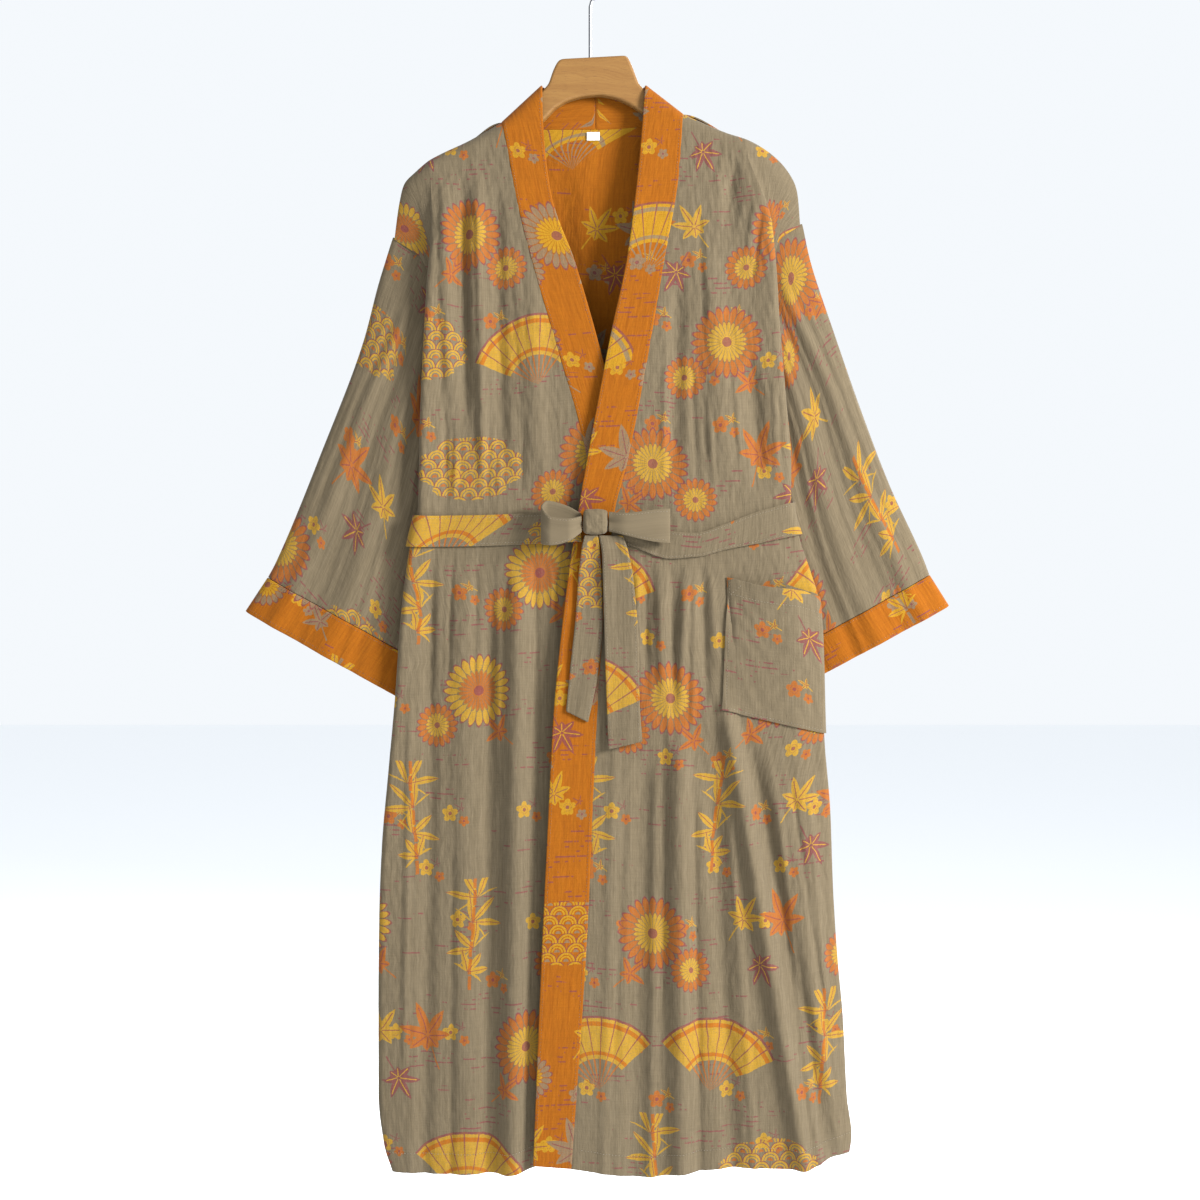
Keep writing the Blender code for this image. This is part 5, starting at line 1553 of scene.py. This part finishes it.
def thread_mesh(name, rows, slot, finish):
    """One mesh of all stitches of a thread: each is a thin spindle."""
    start, end, off = (np.concatenate([row[k] for row in rows]) for k in range(3))
    along = end - start
    along = along / np.linalg.norm(along, axis=1, keepdims=True)
    side = np.cross(along, off)
    side = side / np.linalg.norm(side, axis=1, keepdims=True)
    up = np.cross(side, along)
    angles = np.arange(STITCH_SIDES) * TURN / STITCH_SIDES
    ring = [THREAD * (math.cos(a) * side + math.sin(a) * up) for a in angles]
    middle = (start + end) / 2 + off * THREAD * 0.6
    verts = np.stack([start - off * THREAD] + [middle + point for point in ring] + [end - off * THREAD], 1)
    count = STITCH_SIDES + 2
    faces = []
    for k in range(STITCH_SIDES):
        following = 1 + (k + 1) % STITCH_SIDES
        faces += [(0, following, 1 + k), (1 + k, following, count - 1)]
    faces = np.arange(len(verts))[:, None, None] * count + np.array(faces)
    mesh = bpy.data.meshes.new(name)
    mesh.from_pydata((verts.reshape(-1, 3) * MM).tolist(), [], faces.reshape(-1, 3).tolist())
    mesh.shade_smooth()
    add_piece(name, mesh, slot, finish)
    print(f"{name}: {len(verts)} stitches")


def thread_material(name, colour, light):
    """Twisted cotton thread: the turns of its twist painted along it as fine light and shade."""
    material, shader, tree = new_material(name, 0.75, Sheen_Weight=0.3)
    place = object_place(tree)
    twist_light_and_shade = place.vector("MULTIPLY", place, (THREAD_TWISTS,) * 3).noise(1.0, 1.0)
    # Painted light and shade: the turns of the twist, lighter and darker in the thread's colour.
    wire(tree, shader.inputs["Base Color"], twist_light_and_shade.ramp(0.35, 0.65).blend(colour, light))
    return material


# %% Rows on the robe
HEM_STITCH_RISE = 22.0
THREAD_OFF = 0.1
HEM_OFF, BAND_OFF = WALL / 2 + THREAD_OFF, BAND_WALL / 2 + THREAD_OFF
CUFF_OFF, BELT_OFF = CUFF_WALL / 2 + THREAD_OFF, BELT_WALL / 2 + THREAD_OFF
STITCH_POINTS = 260
BAND_STITCHES_AT, CUFF_STITCHES_AT = (0.07, 0.93), (1.08, 1.90)
POCKET_INSET_U, POCKET_INSET_V, POCKET_HEM = 0.035, 0.022, 0.12

for panel, first in ((FRONT["right"], 0.02), (FRONT["left"], 0.02), (BACK, -0.98)):
    s = np.linspace(first, 0.98, STITCH_POINTS)
    level = wavy(panel, s, np.full(STITCH_POINTS, HEM_DROP)) - HEM_STITCH_RISE
    out = panel.normal(s, level)
    middle = panel.place(s, level)
    middle[:, 1] += panel.facing * PUCKER_HEIGHT * 0.5
    stitch_row("taupe", middle + out * HEM_OFF, out)

for side, grid in band_grids.items():
    for across in BAND_STITCHES_AT:
        column = across * (BAND_COLUMNS - 1)
        low = int(column)
        line = mix(grid[:, low], grid[:, low + 1], column - low)
        stitch_row("orange", line + (0, -BAND_OFF, 0), (0, -1, 0))

for side in ("right", "left"):
    for way in CUFF_STITCHES_AT:
        angles = np.linspace(0.06, math.pi - 0.06, STITCH_POINTS)
        stitch_row("orange", sleeve_point(side, way, angles) + (0, -CUFF_OFF, 0), (0, -1, 0))
        stitch_row("orange", sleeve_point(side, way, angles + math.pi) + (0, CUFF_OFF, 0), (0, 1, 0))

across = np.linspace(POCKET_INSET_U, 1 - POCKET_INSET_U, STITCH_POINTS)
downwards = np.linspace(POCKET_INSET_V, 1 - POCKET_INSET_V, STITCH_POINTS)
corner = np.linspace(0, 1, 40)
pocket_lines = [(0 * downwards + POCKET_INSET_U, downwards),
                (0 * downwards + 1 - POCKET_INSET_U, downwards),
                (across, 0 * across + 1 - POCKET_INSET_V), (across, 0 * across + POCKET_HEM),
                (mix(0.16, POCKET_INSET_U, corner), mix(0.03, 0.13, corner))]
for u, v in pocket_lines:
    stitch_row("taupe", pocket_point(u, v) + (0, -HEM_OFF, 0), (0, -1, 0))

for grid, facing in belt_grids:
    for row in (1, BELT_ACROSS - 2):
        stitch_row("taupe", grid[row] + (0, facing * BELT_OFF, 0), (0, facing, 0))

for side in ("right", "left"):
    in_front = loop_grids[side][:, :LOOP_COLUMNS // 2]
    for row in (1, RIBBON_ACROSS - 2):
        stitch_row("taupe", in_front[row] + (0, -BELT_OFF, 0), (0, -1, 0))
        stitch_row("taupe", tail_grids[side][:, row] + (0, -BELT_OFF, 0), (0, -1, 0))

# %% Threads
# Each thread's two colours are the painted shade and the painted light of its turns.
taupe_thread = thread_material("taupe_thread", TAUPE_LIGHT, linear(100, 90, 72))
orange_thread = thread_material("orange_thread", linear(80, 42, 6), linear(104, 58, 12))
thread_mesh("stitches_taupe", thread_rows["taupe"], "printed_cotton", taupe_thread)
thread_mesh("stitches_orange", thread_rows["orange"], "orange_reverse", orange_thread)

# %% [markdown]
# ## Hanger and hook
#
# The hanger is sawn from a flat board, and its edges are rounded with a router. So it is one flat
# outline, extruded and bevelled as a curve and then made a mesh: a hump round the hook's foot, arms
# under the shoulders, and an arch below. Clear varnish gives the wood a soft shine. The hook is one bent
# wire of grey steel with a straight shank.

# %% Outline of the hanger
HANGER_HALF = 6.0
HANGER_ROUND = 3.0
HANGER_UNDER_CLOTH, HANGER_UNDER_BAND = 3.2, 6.5
ARM_HEIGHT = 28.0
HUMP = {"right": [(-34, 111), (-38, 117), (-42, 126), (-46, 139)],
        "left": [(41, 107), (45, 115), (49, 125), (54, 139)]}
ARCH = [(-51, 179), (-38, 165), (-24, 157), (-9, 153), (10, 151), (27, 154), (43, 161), (60, 172)]
ARMS = {"right": [-58, -67, -80, -97, -115, -134, -155], "left": [66, 75, 88, 102, 120, 138, 155]}
ARM_ENDS = {"right": -176, "left": 180}
ARM_FIRST_LOW = 3
OUTLINE_SPACING = 2.0
SANDING_PASSES = 5
WOOD_BUMP, WOOD_BUMP_DEPTH = 0.25, 0.0004


def cloth_top(x):
    """The drop of the cloth's upper edge above the hanger's arm."""
    side = "right" if x < 0 else "left"
    neck = BAND[side][0]
    points = sorted([(neck.free_x, neck.free_drop)] + [(row.x, row.drop) for row in SHOULDER[side]])
    return float(read(table("x drop", *points), "drop", x))


def hanger_half(side, sign):
    """One half of the board's outline, from the hump over the arm and back under it."""
    end = ARM_ENDS[side]
    neck = abs(BAND[side][0].seam_x)
    upper = []
    for x in ARMS[side] + [end - sign * 4]:
        below = mix(HANGER_UNDER_BAND, HANGER_UNDER_CLOTH, float(smooth((abs(x) - neck + 5) / 10)))
        upper.append((x, cloth_top(x) + below))
    last = cloth_top(end)
    tip = [(end + sign * 2, last + 8), (end + sign * 4, last + 15), (end + sign * 1, last + 23)]
    lower = [(x, cloth_top(x) + HANGER_UNDER_CLOTH + ARM_HEIGHT)
             for x in reversed(ARMS[side][ARM_FIRST_LOW:])]
    return HUMP[side] + upper + tip + lower


def rounded_outline(points):
    """A closed outline with evenly spaced points and its corners sanded round."""
    ring = np.array(points + points[:1], float)
    run = np.concatenate([[0], np.cumsum(np.linalg.norm(np.diff(ring, axis=0), axis=1))])
    at = np.arange(0, run[-1], OUTLINE_SPACING)
    line = np.stack([np.interp(at, run, ring[:, 0]), np.interp(at, run, ring[:, 1])], 1)
    for _ in range(SANDING_PASSES):
        line = (np.roll(line, 1, axis=0) + 2 * line + np.roll(line, -1, axis=0)) / 4
    return line


def bent_line(name, points, closed, **settings):
    """A curve through points in mm, with its settings, made a mesh with no modifiers left on it."""
    curve = bpy.data.curves.new(name, "CURVE")
    for key, value in settings.items():
        setattr(curve, key, value)
    spline = curve.splines.new("POLY")
    spline.points.add(len(points) - 1)
    for point, place in zip(spline.points, points):
        point.co = (*(value * MM for value in place), 1)
    spline.use_cyclic_u = closed
    piece = bpy.data.objects.new(name, curve)
    bpy.context.scene.collection.objects.link(piece)
    select_only(piece)
    bpy.ops.object.convert(target="MESH")
    return piece


# %% Board
outline = hanger_half("left", 1) + ARCH[::-1] + hanger_half("right", -1)[::-1]
outline = [(x, -drop, 0) for x, drop in rounded_outline(outline)]
hanger = bent_line("wooden_hanger", outline, True, dimensions="2D", fill_mode="BOTH",
                   extrude=(HANGER_HALF - HANGER_ROUND) * MM, bevel_depth=HANGER_ROUND * MM,
                   bevel_resolution=4, offset=-HANGER_ROUND * MM)
hanger.rotation_euler = (math.pi / 2, 0, 0)
bpy.ops.object.transform_apply(location=False, rotation=True, scale=False)
hanger.data.shade_smooth()

# %% Varnished wood
wood, wood_shader, wood_tree = new_material("varnished_wood", 0.62, Specular_IOR_Level=0.25,
                                            Coat_Weight=0.06, Coat_Roughness=0.45)
along, _, up = object_place(wood_tree).xyz()
sway = (along * 9.0).joined(up * 30.0).noise(1.0, 2.0)
grain = (along * 14.0).joined(up * 620.0 + sway * 26.0).noise(1.0, 4.0, 0.6)
rings = ((up * 330.0 + sway * 16.0).sin() * 0.5 + 0.5) * 0.12
pores = (along * 90.0).joined(up * 2600.0, 3.0).noise(1.0, 2.0).ramp(0.60, 0.72)
tone = (grain * 0.75 + rings).ramp(0.10, 0.80)
wood_colour = pores.blend(tone.blend(linear(104, 70, 30), linear(120, 87, 42)), linear(84, 54, 24))
wire(wood_tree, wood_shader.inputs["Base Color"], wood_colour)
add_bump(wood_tree, wood_shader, grain - pores * 0.5, WOOD_BUMP, WOOD_BUMP_DEPTH)
hanger.data.materials.append(wood)
stand_for(hanger, "hanger")

# %% Hook
HOOK_WIRE = 1.75
HOOK_RADIUS = 20.0
HOOK_FOOT_DROP = 108.7
HOOK_NECK = [(0, 92), (0, 70), (0, 52), (1.6, 46), (6.5, 40.6)]
HOOK_STEPS = 40
DRAWN_LINES = (900.0, 900.0, 60.0)
HOOK_START, HOOK_END = math.radians(-48), math.radians(200)

ring = HOOK_RADIUS + HOOK_WIRE
turns = np.linspace(HOOK_START, HOOK_END, HOOK_STEPS + 1)
hook_line = [(x, 0, -drop) for x, drop in [(0, HOOK_FOOT_DROP)] + HOOK_NECK]
hook_line += [(ring * math.cos(angle), 0, ring * math.sin(angle) - HOOK_RADIUS) for angle in turns]
hook = bent_line("steel_hook", hook_line, False, dimensions="3D", bevel_depth=HOOK_WIRE * MM,
                 bevel_resolution=6, use_fill_caps=True)
hook.data.shade_smooth()
steel, steel_shader, steel_tree = new_material("grey_steel", 0.34, Metallic=1.0)
place = object_place(steel_tree)
drawn = place.vector("MULTIPLY", place, DRAWN_LINES).noise(1.0, 2.0)
wire(steel_tree, steel_shader.inputs["Base Color"], drawn.blend(linear(96, 97, 100), linear(134, 135, 138)))
wire(steel_tree, steel_shader.inputs["Roughness"], drawn * 0.16 + 0.26)
hook.data.materials.append(steel)
stand_for(hook, "hanger_hook")

# %% [markdown]
# ## Neck label
#
# A small white woven label is sewn inside the back of the neck. It is bare here. It is a flat rectangle,
# so the frame's own solid stays and only gets a better finish, with the ribs of a woven tape painted
# in as light and shade.

# %% Neck label
label_cloth, label_shader, label_tree = new_material("label_satin", 0.6, Sheen_Weight=0.2)
LABEL_RIBS, LABEL_PICKS = 5200.0, 3900.0
across, _, up = object_place(label_tree).xyz()
ribs = (across * LABEL_RIBS).sin() * 0.5 + 0.5
picks = (up * LABEL_PICKS).sin() * 0.5 + 0.5
# Painted light and shade: the tops of the ribs and picks are lighter, the grooves between them darker.
wire(label_tree, label_shader.inputs["Base Color"],
     (ribs * picks).blend(linear(216, 213, 205), linear(236, 234, 228)))
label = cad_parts["neck_label"]
label.material_slots[0].material = label_cloth
print("label:", len(label.data.polygons), "faces")
